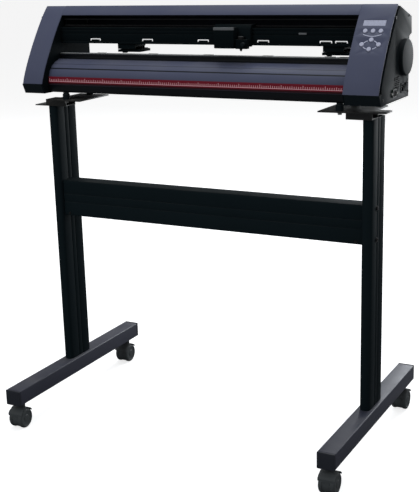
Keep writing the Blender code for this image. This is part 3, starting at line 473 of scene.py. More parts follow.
def make_materials(colours):
    """Every finish, keyed by the record's slot names, and the few extra ones for details."""
    steel = (0.56, 0.57, 0.58)
    MATERIALS.update(
        {
            "slate_plastic": finish_material("slate_moulding", colours.slate, 0.42, scale=1800, spread=0.05),
            "black_plastic": finish_material("black_moulding", colours.shell, 0.5, scale=1600, spread=0.12,
                                             specular=0.1),
            "black_powder_coat": finish_material(
                "black_powder_coat", colours.black, 0.42, scale=900, depth=0.00006, spread=0.12, specular=0.22
            ),
            "foot_coat": finish_material(
                "foot_coat", (0.048, 0.052, 0.08), 0.4, scale=420, depth=0.00012, spread=0.15, specular=0.6
            ),
            "foot_cap": finish_material(
                "foot_cap", (0.03, 0.034, 0.046), 0.5, scale=600, depth=0.0001, spread=0.35, specular=0.4
            ),
            "bracket_coat": finish_material(
                "bracket_coat", (0.012, 0.013, 0.012), 0.38, scale=700, depth=0.00006, dust=0.55, specular=0.8
            ),
            "dull_black": finish_material(
                "dull_black", (0.006, 0.01,
                               0.012), 0.7, scale=1500, spread=0.1, wear=0.2, dust=0.1, specular=0.04
            ),
            "caster_grey": finish_material(
                "caster_grey", (0.085, 0.095, 0.1), 0.45, scale=1100, spread=0.15, specular=0.35
            ),
            "upright_coat": finish_material(
                "upright_coat", colours.black, 0.55, scale=900, depth=0.00006, spread=0.12, dust=0.1,
                specular=0.04
            ),
            "platen_skin": platen_material(colours.slate),
            "top_skin": top_material(colours.slate),
            "bright_steel": finish_material(
                "turned_steel", steel, 0.28, 1.0, scale=900, depth=0.00002, wear=0.1, stretch=(6, 0.3, 0.3)
            ),
            # the cutting strip's front face, below its pale top, is painted dark as shade
            "pale_grey_plastic": banded_material(
                "pale_strip", (0.58, 0.6, 0.6), (0.012, 0.014, 0.018), "cutting_strip", -0.001, 0.0046
            ),
            "ruler_red": banded_material(
                "ruler_red", colours.ruler, (0.035, 0.004, 0.008), "ruler_strip", -0.001, 0.0042
            ),
            "white_nylon": finish_material("white_nylon", (0.72, 0.71, 0.66), 0.5, spread=0.05, wear=0.1),
            "brass": finish_material("turned_brass", (0.6, 0.42, 0.15), 0.32, 1.0, stretch=(0.3, 6, 0.3)),
            "roller_rubber": finish_material("roller_rubber", (0.02, 0.02, 0.021), 0.75, scale=2200,
                                             depth=0.0001),
            "belt_rubber": finish_material("belt_rubber", (0.016, 0.016, 0.017), 0.7, scale=1400,
                                           depth=0.00008),
            "display_window": display_material((0.58, 0.61, 0.78)),
            # the key caps and prints below get a painted glow (emission) from ink_material
            "key_cap": ink_material("key_cap", colours.ink, painted_glow=0.08),
            "circuit_board": board_material(),
            "motor_steel": finish_material("motor_enamel", (0.02, 0.02, 0.022), 0.38, scale=700,
                                           depth=0.00005),
            "marks": ink_material("white_print", colours.marks, painted_glow=0.35),
            "scale_print": ink_material("scale_print", (0.72, 0.4, 0.44), painted_glow=0.2),
            "ink": ink_material("panel_print", colours.ink, painted_glow=0.08),
            "trim": finish_material("satin_pale_grey", (0.2, 0.21, 0.22), 0.4, scale=1400, spread=0.08),
            "zinc": finish_material("zinc_plate", (0.5, 0.5, 0.48), 0.35, 1.0, scale=1200, wear=0.1),
            "black_oxide": finish_material("black_oxide", (0.03, 0.03, 0.032), 0.4, 0.6, scale=1500),
            "void": finish_material("socket_dark", (0.004, 0.004, 0.004), 0.7, spread=0.1, wear=0.0,
                                    dust=0.0),
        }
    )


# Mesh building


def add_object(name, mesh, look=None):
    made = bpy.data.objects.new(name, mesh)
    bpy.context.scene.collection.objects.link(made)
    if look:
        mesh.materials.clear()
        mesh.materials.append(look)
    return made


def mesh_from(name, work, smooth_angle=28.0):
    """A mesh from a bmesh, with outward faces and sharp edges past an angle."""
    bmesh.ops.recalc_face_normals(work, faces=work.faces)
    mesh = bpy.data.meshes.new(name)
    work.to_mesh(mesh)
    work.free()
    mesh.shade_smooth()
    mesh.set_sharp_from_angle(angle=math.radians(smooth_angle))
    return mesh


def plain(piece, smooth_angle=28.0):
    """Turns the result of the piece's modifiers into its own plain mesh."""
    graph = bpy.context.evaluated_depsgraph_get()
    made = bpy.data.meshes.new_from_object(piece.evaluated_get(graph))
    piece.modifiers.clear()
    old = piece.data
    piece.data = made
    made.name = piece.name
    if isinstance(old, bpy.types.Mesh):
        bpy.data.meshes.remove(old)
    made.shade_smooth()
    made.set_sharp_from_angle(angle=math.radians(smooth_angle))
    return piece


def settle(piece, body, replaced=()):
    """Gives a finished piece its body and the nodes that it stands for."""
    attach(piece, body)
    if replaced:
        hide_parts(*replaced)
    return piece


def merged_copy(node, name):
    """A node's mesh with its loose triangles welded and its flat faces made whole."""
    work = bmesh.new()
    work.from_mesh(frame["nodes"][node].data)
    bmesh.ops.remove_doubles(work, verts=work.verts, dist=2e-6)
    bmesh.ops.dissolve_limit(work, angle_limit=math.radians(1), verts=work.verts, edges=work.edges)
    mesh = bpy.data.meshes.new(name)
    work.to_mesh(mesh)
    work.free()
    return add_object(name, mesh, look_for(node))


def look_for(node):
    """The node's own finish where it has one, and otherwise its slot's."""
    for start, look in LOOK_OF.items():
        if node.startswith(start) and SLOT_OF[node] != "roller_rubber":
            return MATERIALS[look]
    return MATERIALS[SLOT_OF[node]]


def box_into(work, low, high):
    """A box added to a bmesh, by its corners."""
    made = bmesh.ops.create_cube(work, size=1.0)
    for vert in made["verts"]:
        vert.co = Vector([low[k] + (high[k] - low[k]) * (vert.co[k] + 0.5) for k in range(3)])


def bevel(piece, width, segments=2, angle=38.0):
    modifier = piece.modifiers.new("edges", "BEVEL")
    modifier.width = width
    modifier.segments = segments
    modifier.limit_method = "ANGLE"
    modifier.angle_limit = math.radians(angle)
    modifier.use_clamp_overlap = True
    return modifier


def box_piece(name, boxes, look, width, segments, smooth_angle=28.0):
    """One or more boxes in one piece, with rounded edges."""
    work = bmesh.new()
    for low, high in boxes:
        box_into(work, Vector(low), Vector(high))
    mesh = bpy.data.meshes.new(name)
    work.to_mesh(mesh)
    work.free()
    piece = add_object(name, mesh, look)
    bevel(piece, width, segments)
    return plain(piece, smooth_angle)


def rounded_node(node, width, segments=2):
    """A node's shape again with rounded edges, standing for the node."""
    piece = merged_copy(node, node + "_finish")
    bevel(piece, width, segments)
    plain(piece)
    return settle(piece, BODY_OF[node], [node])


def turned_mesh(name, profile, centre, axis, steps=48):
    """A profile of (radius, height) points turned about an axis through centre."""
    work = bmesh.new()
    turn = Vector((0, 0, 1)).rotation_difference(Vector(axis)).to_matrix().to_4x4()
    place = Matrix.Translation(centre) @ turn
    verts = [work.verts.new(place @ Vector((radius, 0, height))) for radius, height in profile]
    edges = [work.edges.new(pair) for pair in zip(verts, verts[1:])]
    if profile[0][0] > 0 and profile[-1][0] > 0:
        edges.append(work.edges.new((verts[-1], verts[0])))
    line = place.to_3x3() @ Vector((0, 0, 1))
    bmesh.ops.spin(work, geom=verts + edges, cent=centre, axis=line, angle=2 * math.pi, steps=steps)
    bmesh.ops.remove_doubles(work, verts=work.verts, dist=1e-6)
    return mesh_from(name, work)


def swept_strip(work, path, width, height, up):
    """A closed strip of rectangular section along a path, lying on a surface with the given normals."""
    rings = []
    for index, point in enumerate(path):
        before = path[max(index - 1, 0)]
        after = path[min(index + 1, len(path) - 1)]
        along = (after - before).normalized()
        normal = up[index]
        side = along.cross(normal).normalized() * width / 2
        corners = (point - side, point + side, point + side + normal * height, point - side + normal * height)
        rings.append([work.verts.new(corner) for corner in corners])
    for one, two in zip(rings, rings[1:]):
        for k in range(4):
            work.faces.new((one[k], one[(k + 1) % 4], two[(k + 1) % 4], two[k]))
    work.faces.new(rings[0][::-1])
    work.faces.new(rings[-1])


# Geometry Nodes building


def geometry_tree(name, inputs):
    """A tree with named inputs, whose kinds follow their values, and with a material input last."""
    tree = bpy.data.node_groups.new(name, "GeometryNodeTree")
    tree.interface.new_socket("Geometry", in_out="INPUT", socket_type="NodeSocketGeometry")
    for label, value in inputs.items():
        socket = tree.interface.new_socket(label, in_out="INPUT", socket_type=SOCKET_KINDS[type(value)])
        socket.default_value = value
    tree.interface.new_socket("Material", in_out="INPUT", socket_type="NodeSocketMaterial")
    tree.interface.new_socket("Geometry", in_out="OUTPUT", socket_type="NodeSocketGeometry")
    return tree, tree.nodes.new("NodeGroupInput").outputs, tree.nodes.new("NodeGroupOutput")


def boolean_node(tree, operation, bodies, cutter=None):
    """Joins bodies, or cuts one body with a cutter."""
    node = add_node(tree, "GeometryNodeMeshBoolean", {"operation": operation})
    for body in bodies:
        tree.links.new(body, node.inputs[0 if cutter else 1])
    if cutter:
        tree.links.new(cutter, node.inputs[1])
    return node.outputs[0]


def scatter(tree, points, instance, **turning):
    return add_node(tree, "GeometryNodeInstanceOnPoints", Points=points, Instance=instance,
                    **turning).outputs[0]


def close_tree(tree, source, given, end):
    """The end of every tree: realised instances with their material set."""
    real = add_node(tree, "GeometryNodeRealizeInstances", Geometry=source)
    look = add_node(tree, "GeometryNodeSetMaterial", Geometry=real.outputs[0], Material=given["Material"])
    tree.links.new(look.outputs[0], end.inputs[0])


def grow(piece, tree, values):
    """Puts a tree on a piece, with its inputs set by their identifiers."""
    modifier = piece.modifiers.new("build", "NODES")
    modifier.node_group = tree
    for item in tree.interface.items_tree:
        if item.item_type == "SOCKET" and item.in_out == "INPUT" and item.name in values:
            modifier[item.identifier] = values[item.name]


def run_tree(name, data, tree, values):
    """A piece built by a tree, as a plain mesh."""
    piece = add_object(name, data)
    grow(piece, tree, values)
    return plain(piece)


def points_mesh(name, places, facings=None):
    """Loose points, each with the direction that it faces."""
    mesh = bpy.data.meshes.new(name)
    mesh.from_pydata([tuple(place) for place in places], [], [])
    if facings:
        layer = mesh.attributes.new("facing", "FLOAT_VECTOR", "POINT")
        for item, facing in zip(layer.data, facings):
            item.vector = facing
    return mesh


def fastener_tree():
    """Heads with a washer and a hex socket, one on each point, turned to face outwards."""
    tree, given, end = geometry_tree(
        "fasteners",
        {
            "Head Radius": 0.004,
            "Head Height": 0.003,
            "Head Sides": 24,
            "Washer Radius": 0.0055,
            "Socket Radius": 0.0018,
        },
    )
    top = math_node(tree, "MULTIPLY", given["Head Radius"], 0.86)
    head = add_node(tree, "GeometryNodeMeshCone", Vertices=given["Head Sides"], Radius_Top=top,
                    Radius_Bottom=given["Head Radius"], Depth=given["Head Height"])
    washer = add_node(tree, "GeometryNodeMeshCone", Vertices=28, Radius_Top=given["Washer Radius"],
                      Radius_Bottom=given["Washer Radius"], Depth=0.0007)
    joined = boolean_node(tree, "UNION", [head.outputs[0], washer.outputs[0]])
    lift = math_node(tree, "MULTIPLY", given["Head Height"], 0.45)
    socket = add_node(tree, "GeometryNodeMeshCone", Vertices=6, Radius_Top=given["Socket Radius"],
                      Radius_Bottom=given["Socket Radius"], Depth=given["Head Height"])
    shift = vector_node(tree, Z=lift)
    raised = add_node(tree, "GeometryNodeTransform", Geometry=socket.outputs[0], Translation=shift)
    drilled = boolean_node(tree, "DIFFERENCE", [joined], raised.outputs[0])
    facing = add_node(tree, "GeometryNodeInputNamedAttribute", {"data_type": "FLOAT_VECTOR"}, Name="facing")
    turn = add_node(tree, "FunctionNodeAlignRotationToVector", {"axis": "Z"}, Vector=facing.outputs[0])
    spread = scatter(tree, given["Geometry"], drilled, Rotation=turn.outputs[0])
    close_tree(tree, spread, given, end)
    return tree


def tick_tree():
    """A scale's ticks: long each tenth, middling each fifth, short between."""
    tree, given, end = geometry_tree(
        "scale_ticks",
        {
            "Count": 100,
            "Pitch": 0.005,
            "Width": 0.0009,
            "Short": 0.0045,
            "Middle": 0.006,
            "Long": 0.0085,
            "Relief": 0.00015,
            "Tilt": 1.4,
            "Start": (0, 0, 0),
        },
    )
    step = vector_node(tree, X=given["Pitch"])
    line = add_node(tree, "GeometryNodeMeshLine", Count=given["Count"], Start_Location=given["Start"],
                    Offset=step)
    size = vector_node(tree, X=given["Width"], Y=1.0, Z=given["Relief"])
    bar = add_node(tree, "GeometryNodeMeshCube", Size=size).outputs[0]
    bar = add_node(tree, "GeometryNodeTransform", Geometry=bar, Translation=(0, 0.5, 0)).outputs[0]
    index = add_node(tree, "GeometryNodeInputIndex").outputs[0]
    length = given["Short"]
    for every, socket in ((5, "Middle"), (10, "Long")):
        part = math_node(tree, "MODULO", index, float(every))
        hit = math_node(tree, "LESS_THAN", part, 0.5)
        node = add_node(tree, "GeometryNodeSwitch", {"input_type": "FLOAT"})
        tree.links.new(hit, node.inputs[0])
        tree.links.new(length, node.inputs[1])
        tree.links.new(given[socket], node.inputs[2])
        length = node.outputs[0]
    scale = vector_node(tree, X=1.0, Y=length, Z=1.0)
    turn = vector_node(tree, X=given["Tilt"])
    turn = add_node(tree, "FunctionNodeEulerToRotation", Euler=turn).outputs[0]
    spread = scatter(tree, line.outputs[0], bar, Rotation=turn, Scale=scale)
    close_tree(tree, spread, given, end)
    return tree


def knurl_tree():
    """Grit points over a drum, repeated at each drum centre, with the drums' axis along X."""
    tree, given, end = geometry_tree(
        "grit_points",
        {
            "Drum Radius": 0.0086,
            "Drum Width": 0.025,
            "Around": 30,
            "Along": 14,
            "Point Radius": 0.0006,
            "Point Height": 0.0004,
        },
    )
    tube = add_node(tree, "GeometryNodeMeshCylinder", {"fill_type": "NONE"}, Vertices=given["Around"],
                    Side_Segments=given["Along"], Radius=given["Drum Radius"], Depth=given["Drum Width"])
    cone = add_node(tree, "GeometryNodeMeshCone", Vertices=4, Radius_Top=0.0,
                    Radius_Bottom=given["Point Radius"],
                    Depth=given["Point Height"])
    normal = add_node(tree, "GeometryNodeInputNormal").outputs[0]
    turn = add_node(tree, "FunctionNodeAlignRotationToVector", {"axis": "Z"}, Vector=normal).outputs[0]
    drum = scatter(tree, tube.outputs[0], cone.outputs[0], Rotation=turn)
    drum = add_node(tree, "GeometryNodeRealizeInstances", Geometry=drum)
    lying = add_node(tree, "GeometryNodeTransform", Geometry=drum.outputs[0], Rotation=(0, math.pi / 2, 0))
    spread = scatter(tree, given["Geometry"], lying.outputs[0])
    close_tree(tree, spread, given, end)
    return tree


def mark_tree():
    """Roller marks: a bar with two short legs at each point, on a face that looks along -Y."""
    tree, given, end = geometry_tree(
        "roller_marks",
        {
            "Bar": 0.026,
            "Leg": 0.004,
            "Stroke": 0.0014,
            "Relief": 0.0003,
        },
    )
    bar_size = vector_node(tree, X=given["Bar"], Y=given["Relief"], Z=given["Stroke"])
    leg_size = vector_node(tree, X=given["Stroke"], Y=given["Relief"], Z=given["Leg"])
    bar = add_node(tree, "GeometryNodeMeshCube", Size=bar_size).outputs[0]
    strokes = [bar]
    drop = math_node(tree, "MULTIPLY", given["Leg"], -0.5)
    for sign in (-0.5, 0.5):
        reach = math_node(tree, "MULTIPLY", given["Bar"], sign)
        place = vector_node(tree, X=reach, Z=drop)
        leg = add_node(tree, "GeometryNodeMeshCube", Size=leg_size).outputs[0]
        leg = add_node(tree, "GeometryNodeTransform", Geometry=leg, Translation=place).outputs[0]
        strokes.append(leg)
    joined = boolean_node(tree, "UNION", strokes)
    spread = scatter(tree, given["Geometry"], joined)
    close_tree(tree, spread, given, end)
    return tree


def tooth_tree():
    """Belt teeth along a closed path, on its inner side."""
    tree, given, end = geometry_tree(
        "belt_teeth",
        {
            "Pitch": 0.003,
            "Tooth Length": 0.0014,
            "Tooth Height": 0.0007,
            "Belt Width": 0.006,
        },
    )
    spaced = add_node(tree, "GeometryNodeResampleCurve", {"mode": "LENGTH"}, Curve=given["Geometry"],
                      Length=given["Pitch"])
    size = vector_node(tree, X=given["Tooth Length"], Y=given["Belt Width"], Z=given["Tooth Height"])
    block = add_node(tree, "GeometryNodeMeshCube", Size=size)
    tangent = add_node(tree, "GeometryNodeInputTangent").outputs[0]
    turn = add_node(tree, "FunctionNodeAlignRotationToVector", {"axis": "X", "pivot_axis": "Y"},
                    Vector=tangent)
    spread = scatter(tree, spaced.outputs[0], block.outputs[0], Rotation=turn.outputs[0])
    close_tree(tree, spread, given, end)
    return tree


def vent_tree():
    """Cuts a column of level slots out of a side wall."""
    tree, given, end = geometry_tree(
        "vent_slots",
        {
            "Count": 6,
            "Pitch": 0.004,
            "Slot Length": 0.038,
            "Slot Height": 0.0018,
            "Cut Depth": 0.012,
            "Start": (0, 0, 0),
        },
    )
    step = vector_node(tree, Z=given["Pitch"])
    line = add_node(tree, "GeometryNodeMeshLine", Count=given["Count"], Start_Location=given["Start"],
                    Offset=step)
    size = vector_node(tree, X=given["Cut Depth"], Y=given["Slot Length"], Z=given["Slot Height"])
    block = add_node(tree, "GeometryNodeMeshCube", Size=size).outputs[0]
    spread = scatter(tree, line.outputs[0], block)
    real = add_node(tree, "GeometryNodeRealizeInstances", Geometry=spread)
    cut = boolean_node(tree, "DIFFERENCE", [given["Geometry"]], real.outputs[0])
    close_tree(tree, cut, given, end)
    return tree


TREES = {}


def tree_of(name):
    makers = {
        "fasteners": fastener_tree,
        "scale_ticks": tick_tree,
        "grit_points": knurl_tree,
        "roller_marks": mark_tree,
        "belt_teeth": tooth_tree,
        "vent_slots": vent_tree,
        "board_parts": board_tree,
        "coil_springs": spring_tree,
    }
    if name not in TREES:
        TREES[name] = makers[name]()
    return TREES[name]


def fasteners(name, body, places, facings, radius, height, sides=24, washer=1.25, look="black_oxide"):
    values = {
        "Head Radius": radius,
        "Head Height": height,
        "Head Sides": sides,
        "Washer Radius": radius * washer,
        "Socket Radius": radius * 0.5,
        "Material": MATERIALS[look],
    }
    piece = run_tree(name, points_mesh(name, places, facings), tree_of("fasteners"), values)
    return settle(piece, body)


def face_point(height, x):
    """The point of the front skin at this height, and its outward normal, read from the skin's own mesh."""
    mesh = frame["nodes"]["fascia_right"].data
    best = None
    for polygon in mesh.polygons:
        zs = [mesh.vertices[i].co.z for i in polygon.vertices]
        facing = polygon.normal.y < -0.35 and abs(polygon.normal.x) < 0.1
        if facing and min(zs) - 1e-5 <= height <= max(zs) + 1e-5:
            if polygon.area > 1e-9 and (best is None or polygon.area > best.area):
                best = polygon
    if best is None:
        raise RuntimeError("the front skin has no face at this height")
    normal = best.normal.normalized()
    anchor = mesh.vertices[best.vertices[0]].co
    y = anchor.y - (height - anchor.z) * normal.z / normal.y
    return Vector((x, y, height)), Vector((0, normal.y, normal.z)).normalized()


# Operators


class CUTTER_OT_finishes(bpy.types.Operator):
    """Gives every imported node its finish"""

    bl_idname = "cutter.finishes"
    bl_label = "Finishes"
    bl_options = {"REGISTER", "UNDO"}

    def execute(self, context):
        make_materials(context.scene.cutter_colours)
        for node, item in frame["nodes"].items():
            item.data.materials.clear()
            item.data.materials.append(look_for(node))
        return {"FINISHED"}


class CUTTER_OT_rounded_edges(bpy.types.Operator):
    """Rounds the edges of the stand, the casing and the larger machine parts"""

    bl_idname = "cutter.rounded_edges"
    bl_label = "Rounded Edges"
    bl_options = {"REGISTER", "UNDO"}

    def execute(self, context):
        sizes = context.scene.cutter_sizes
        width = sizes.edge_round
        for side in ("left", "right"):
            rounded_node("upright_" + side, 0.5 * width)
            rounded_node("support_bracket_" + side, 0.6 * width)
            rounded_node("fascia_" + side, width)
            rounded_node("end_cover_" + side, 1.2 * width)
            rounded_node("pinch_arm_" + side, 0.8 * width)
            rounded_node("pinch_bracket_" + side, 0.6 * width)
        for node in ("crossbeam", "top_cover", "base_platen", "guide_rail", "carriage_body", "tool_slide"):
            rounded_node(node, 0.6 * width)
        rounded_node("carriage_cover", 2 * width, 3)
        return {"FINISHED"}


class CUTTER_OT_feet(bpy.types.Operator):
    """Foot tubes with a plastic cap on each end"""

    bl_idname = "cutter.feet"
    bl_label = "Foot Tubes and Caps"
    bl_options = {"REGISTER", "UNDO"}

    def execute(self, context):
        sizes = context.scene.cutter_sizes
        depth = sizes.cap_depth
        for side in ("left", "right"):
            node = "foot_" + side
            low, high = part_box(node)
            inset = Vector((0, depth + 0.3 * MM, 0))
            piece = box_piece(node + "_tube", [(low + inset, high - inset)], look_for(node), 3 * MM, 5, 20)
            settle(piece, BODY_OF[node], [node])
            for end, y0, y1 in (("front", low.y, low.y + depth), ("rear", high.y - depth, high.y)):
                cap = [((low.x, y0, low.z), (high.x, y1, high.z))]
                piece = box_piece(f"foot_cap_{end}_{side}", cap, MATERIALS["foot_cap"], 2.2 * MM, 4, 20)
                settle(piece, BODY_OF[node])
        return {"FINISHED"}


class CUTTER_OT_casters(bpy.types.Operator):
    """Twin wheels with dished discs, and soft-edged hoods"""

    bl_idname = "cutter.casters"
    bl_label = "Casters"
    bl_options = {"REGISTER", "UNDO"}

    def execute(self, context):
        for side in ("left", "right"):
            for end in ("front", "rear"):
                label = f"{end}_{side}"
                node = "caster_wheels_" + label
                low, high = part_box(node)
                centre = (low + high) / 2
                half = (high.x - low.x) / 2
                tread = (high.z - low.z) / 2
                caster_hood("caster_hood_" + label, centre, tread)
                inner = half - 9.6 * MM
                side_profile = [
                    (3.5 * MM, inner),
                    (tread - 1.2 * MM, inner),
                    (tread - 0.3 * MM, inner + 0.5 * MM),
                    (tread, inner + 1.6 * MM),
                    (tread, half - 4 * MM),
                    (tread - 0.8 * MM, half - 2 * MM),
                    (tread - 2.4 * MM, half - 0.6 * MM),
                    (tread - 4 * MM, half),
                    (tread - 6 * MM, half),
                    (tread - 6.8 * MM, half - 0.8 * MM),
                    (9 * MM, half - 1.4 * MM),
                    (7.5 * MM, half - 0.5 * MM),
                    (3 * MM, half - 0.3 * MM),
                    (0, half - 0.3 * MM),
                ]
                profile = [(r, -t) for r, t in reversed(side_profile)] + side_profile
                mesh = turned_mesh(node, profile, centre, (1, 0, 0), 56)
                piece = add_object(node + "_finish", mesh, look_for(node))
                settle(piece, BODY_OF[node], [node])
        return {"FINISHED"}


def caster_hood(node, hub, tread):
    """A hood whose mudguard thins towards its two ends, so that it blends into the wheels."""
    piece = merged_copy(node, node + "_finish")
    for vert in piece.data.vertices:
        arm = Vector((0, vert.co.y - hub.y, vert.co.z - hub.z))
        lean = abs(math.degrees(math.atan2(arm.y, arm.z)))
        if arm.length > tread + 1 * MM and lean > 25 and arm.z > 0 and arm.length < tread + 3 * MM:
            reach = tread + (0.5 + 1.5 * max(0.0, 1 - (lean - 25) / 30)) * MM
            vert.co.y = hub.y + arm.y * reach / arm.length
            vert.co.z = hub.z + arm.z * reach / arm.length
    bevel(piece, 0.5 * MM, 2)
    plain(piece)
    return settle(piece, BODY_OF[node], [node])


class CUTTER_OT_ruler_ticks(bpy.types.Operator):
    """White ticks and a base line on the ruler strip"""

    bl_idname = "cutter.ruler_ticks"
    bl_label = "Ruler Ticks"
    bl_options = {"REGISTER", "UNDO"}

    def execute(self, context):
        sizes = context.scene.cutter_sizes
        low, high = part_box("ruler_strip")
        tilt = math.atan2(18.1, 1.8)
        values = {
            "Count": int((high.x - low.x - 4 * MM) / sizes.tick_pitch),
            "Pitch": sizes.tick_pitch,
            "Width": sizes.tick_width,
            "Tilt": tilt,
            "Start": (low.x + 3 * MM, low.y + 0.7 * MM, low.z + 7.4 * MM),
            "Short": 5 * MM,
            "Middle": 6 * MM,
            "Long": 7.5 * MM,
            "Material": MATERIALS["scale_print"],
        }
        piece = run_tree("ruler_ticks", points_mesh("ruler_ticks", [(0, 0, 0)]), tree_of("scale_ticks"),
                         values)
        settle(piece, "frame")
        work = bmesh.new()
        start = Vector((low.x + 2 * MM, low.y + 0.75 * MM, low.z + 7.2 * MM))
        normal = Vector((0, -math.sin(tilt), math.cos(tilt)))
        path = [start, start + Vector((high.x - low.x - 4 * MM, 0, 0))]
        swept_strip(work, path, 1.1 * MM, 0.25 * MM, [normal, normal])
        settle(add_object("ruler_base_line", mesh_from("ruler_base_line", work), MATERIALS["scale_print"]),
               "frame")
        return {"FINISHED"}


class CUTTER_OT_rail_marks(bpy.types.Operator):
    """White marks on the rail over each grit drum"""

    bl_idname = "cutter.rail_marks"
    bl_label = "Rail Marks"
    bl_options = {"REGISTER", "UNDO"}

    def execute(self, context):
        sizes = context.scene.cutter_sizes
        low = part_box("guide_rail")[0]
        places = [(x, low.y - 0.1 * MM, low.z + 10.6 * MM) for x in drum_centres()]
        values = {"Stroke": sizes.mark_stroke, "Material": MATERIALS["marks"]}
        piece = run_tree("rail_marks", points_mesh("rail_marks", places), tree_of("roller_marks"), values)
        settle(piece, "frame")
        return {"FINISHED"}


def drum_centres():
    """The middles of the grit drums along X, from the wide stretches of the shaft's own mesh."""
    mesh = frame["nodes"]["grit_shaft"].data
    low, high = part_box("grit_shaft")
    radius = (high.z - low.z) / 2
    middle = (high.z + low.z) / 2
    wide = sorted({round(v.co.x, 5) for v in mesh.vertices if abs(v.co.z - middle) > radius * 0.95})
    return [(one + two) / 2 for one, two in zip(wide[::2], wide[1::2])]


class CUTTER_OT_grit_points(bpy.types.Operator):
    """Grit points on each drum of the feed shaft"""

    bl_idname = "cutter.grit_points"
    bl_label = "Grit Points"
    bl_options = {"REGISTER", "UNDO"}

    def execute(self, context):
        sizes = context.scene.cutter_sizes
        low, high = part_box("grit_shaft")
        radius = (high.z - low.z) / 2
        centre = (low + high) / 2
        places = [(x, centre.y, centre.z) for x in drum_centres()]
        around = int(2 * math.pi * radius / sizes.knurl_pitch)
        values = {
            "Drum Radius": radius - 0.15 * MM,
            "Drum Width": 24 * MM,
            "Around": around,
            "Along": int(24 * MM / sizes.knurl_pitch),
            "Material": MATERIALS["bright_steel"],
        }
        piece = run_tree("grit_points", points_mesh("grit_points", places), tree_of("grit_points"), values)
        settle(piece, "feed_shaft")
        return {"FINISHED"}


class CUTTER_OT_belt_teeth(bpy.types.Operator):
    """Teeth along the inside of the carriage belt"""

    bl_idname = "cutter.belt_teeth"
    bl_label = "Belt Teeth"
    bl_options = {"REGISTER", "UNDO"}

    def execute(self, context):
        sizes = context.scene.cutter_sizes
        low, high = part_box("drive_belt")
        middle = (low + high) / 2
        radius = (high.z - low.z) / 2 - 1.45 * MM
        reach = (high.x - low.x) / 2 - (high.z - low.z) / 2
        curve = bpy.data.curves.new("belt_path", "CURVE")
        curve.dimensions = "3D"
        path = []
        for sign, start in ((1, -90), (-1, 90)):
            for step in range(13):
                turn = math.radians(start + 15 * step)
                path.append((middle.x + sign * reach + radius * math.cos(turn),
                             middle.z + radius * math.sin(turn)))
        spline = curve.splines.new("POLY")
        spline.points.add(len(path) - 1)
        for point, (x, z) in zip(spline.points, path):
            point.co = (x, middle.y, z, 1.0)
        spline.use_cyclic_u = True
        holder = add_object("belt_teeth", curve)
        values = {
            "Pitch": sizes.tooth_pitch,
            "Belt Width": high.y - low.y - 0.2 * MM,
            "Material": MATERIALS["belt_rubber"],
        }
        grow(holder, tree_of("belt_teeth"), values)
        graph = bpy.context.evaluated_depsgraph_get()
        made = bpy.data.meshes.new_from_object(holder.evaluated_get(graph))
        bpy.data.objects.remove(holder)
        bpy.data.curves.remove(curve)
        settle(add_object("belt_teeth", made), "frame")
        return {"FINISHED"}


class CUTTER_OT_panel_print(bpy.types.Operator):
    """The printed lines round the keys, and the arrows on the arrow keys"""

    bl_idname = "cutter.panel_print"
    bl_label = "Panel Print"
    bl_options = {"REGISTER", "UNDO"}

    def execute(self, context):
        keys = {}
        for name in ("up", "left", "right", "down"):
            low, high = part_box("arrow_button_" + name)
            keys[name] = (low + high) / 2
        work = bmesh.new()
        middle = (keys["left"] + keys["right"] + keys["up"] + keys["down"]) / 4
        wide = (keys["right"].x - keys["left"].x) / 2 - 2.5 * MM
        tall = (keys["up"].z - keys["down"].z) / 2 - 0.5 * MM
        for start in (25, 115, 205, 295):
            path, normals = [], []
            for step in range(11):
                turn = math.radians(start + 4 * step)
                point, normal = face_point(middle.z + tall * math.sin(turn), middle.x + wide * math.cos(turn))
                path.append(point + normal * 0.05 * MM)
                normals.append(normal)
            swept_strip(work, path, 1.9 * MM, 0.2 * MM, normals)
        low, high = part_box("button_menu")
        left = (low + high) / 2
        low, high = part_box("button_start")
        right = (low + high) / 2
        path, normals = [], []
        for step in range(17):
            t = step / 16
            x = left.x - 3 * MM + (right.x - left.x + 6 * MM) * t
            drop = 6 * MM + 3.5 * MM * math.sin(math.pi * t)
            point, normal = face_point(left.z - drop, x)
            path.append(point + normal * 0.05 * MM)
            normals.append(normal)
        swept_strip(work, path, 1.8 * MM, 0.2 * MM, normals)
        mesh = mesh_from("panel_print", work)
        settle(add_object("panel_print", mesh, MATERIALS["ink"]), "frame")
        for name, turn in (("up", 0), ("left", 90), ("down", 180), ("right", 270)):
            node = "arrow_button_" + name
            low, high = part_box(node)
            centre = (low + high) / 2
            _, normal = face_point(centre.z, centre.x)
            top = centre + normal * (2.93 * MM)
            across = Vector((1, 0, 0))
            upward = normal.cross(across).normalized()
            if upward.z < 0:
                upward = -upward
            work = bmesh.new()
            bottom, lid = [], []
            for angle in (90, 210, 330):
                a = math.radians(angle + turn)
                flat = across * math.cos(a) * 2.6 * MM + upward * math.sin(a) * 2.6 * MM
                bottom.append(work.verts.new(top + flat))
                lid.append(work.verts.new(top + flat + normal * 0.15 * MM))
            work.faces.new(bottom)
            work.faces.new(lid)
            for k in range(3):
                work.faces.new((bottom[k], bottom[(k + 1) % 3], lid[(k + 1) % 3], lid[k]))
            piece = add_object("arrow_print_" + name, mesh_from("arrow", work), MATERIALS["slate_plastic"])
            settle(piece, BODY_OF[node])
        return {"FINISHED"}


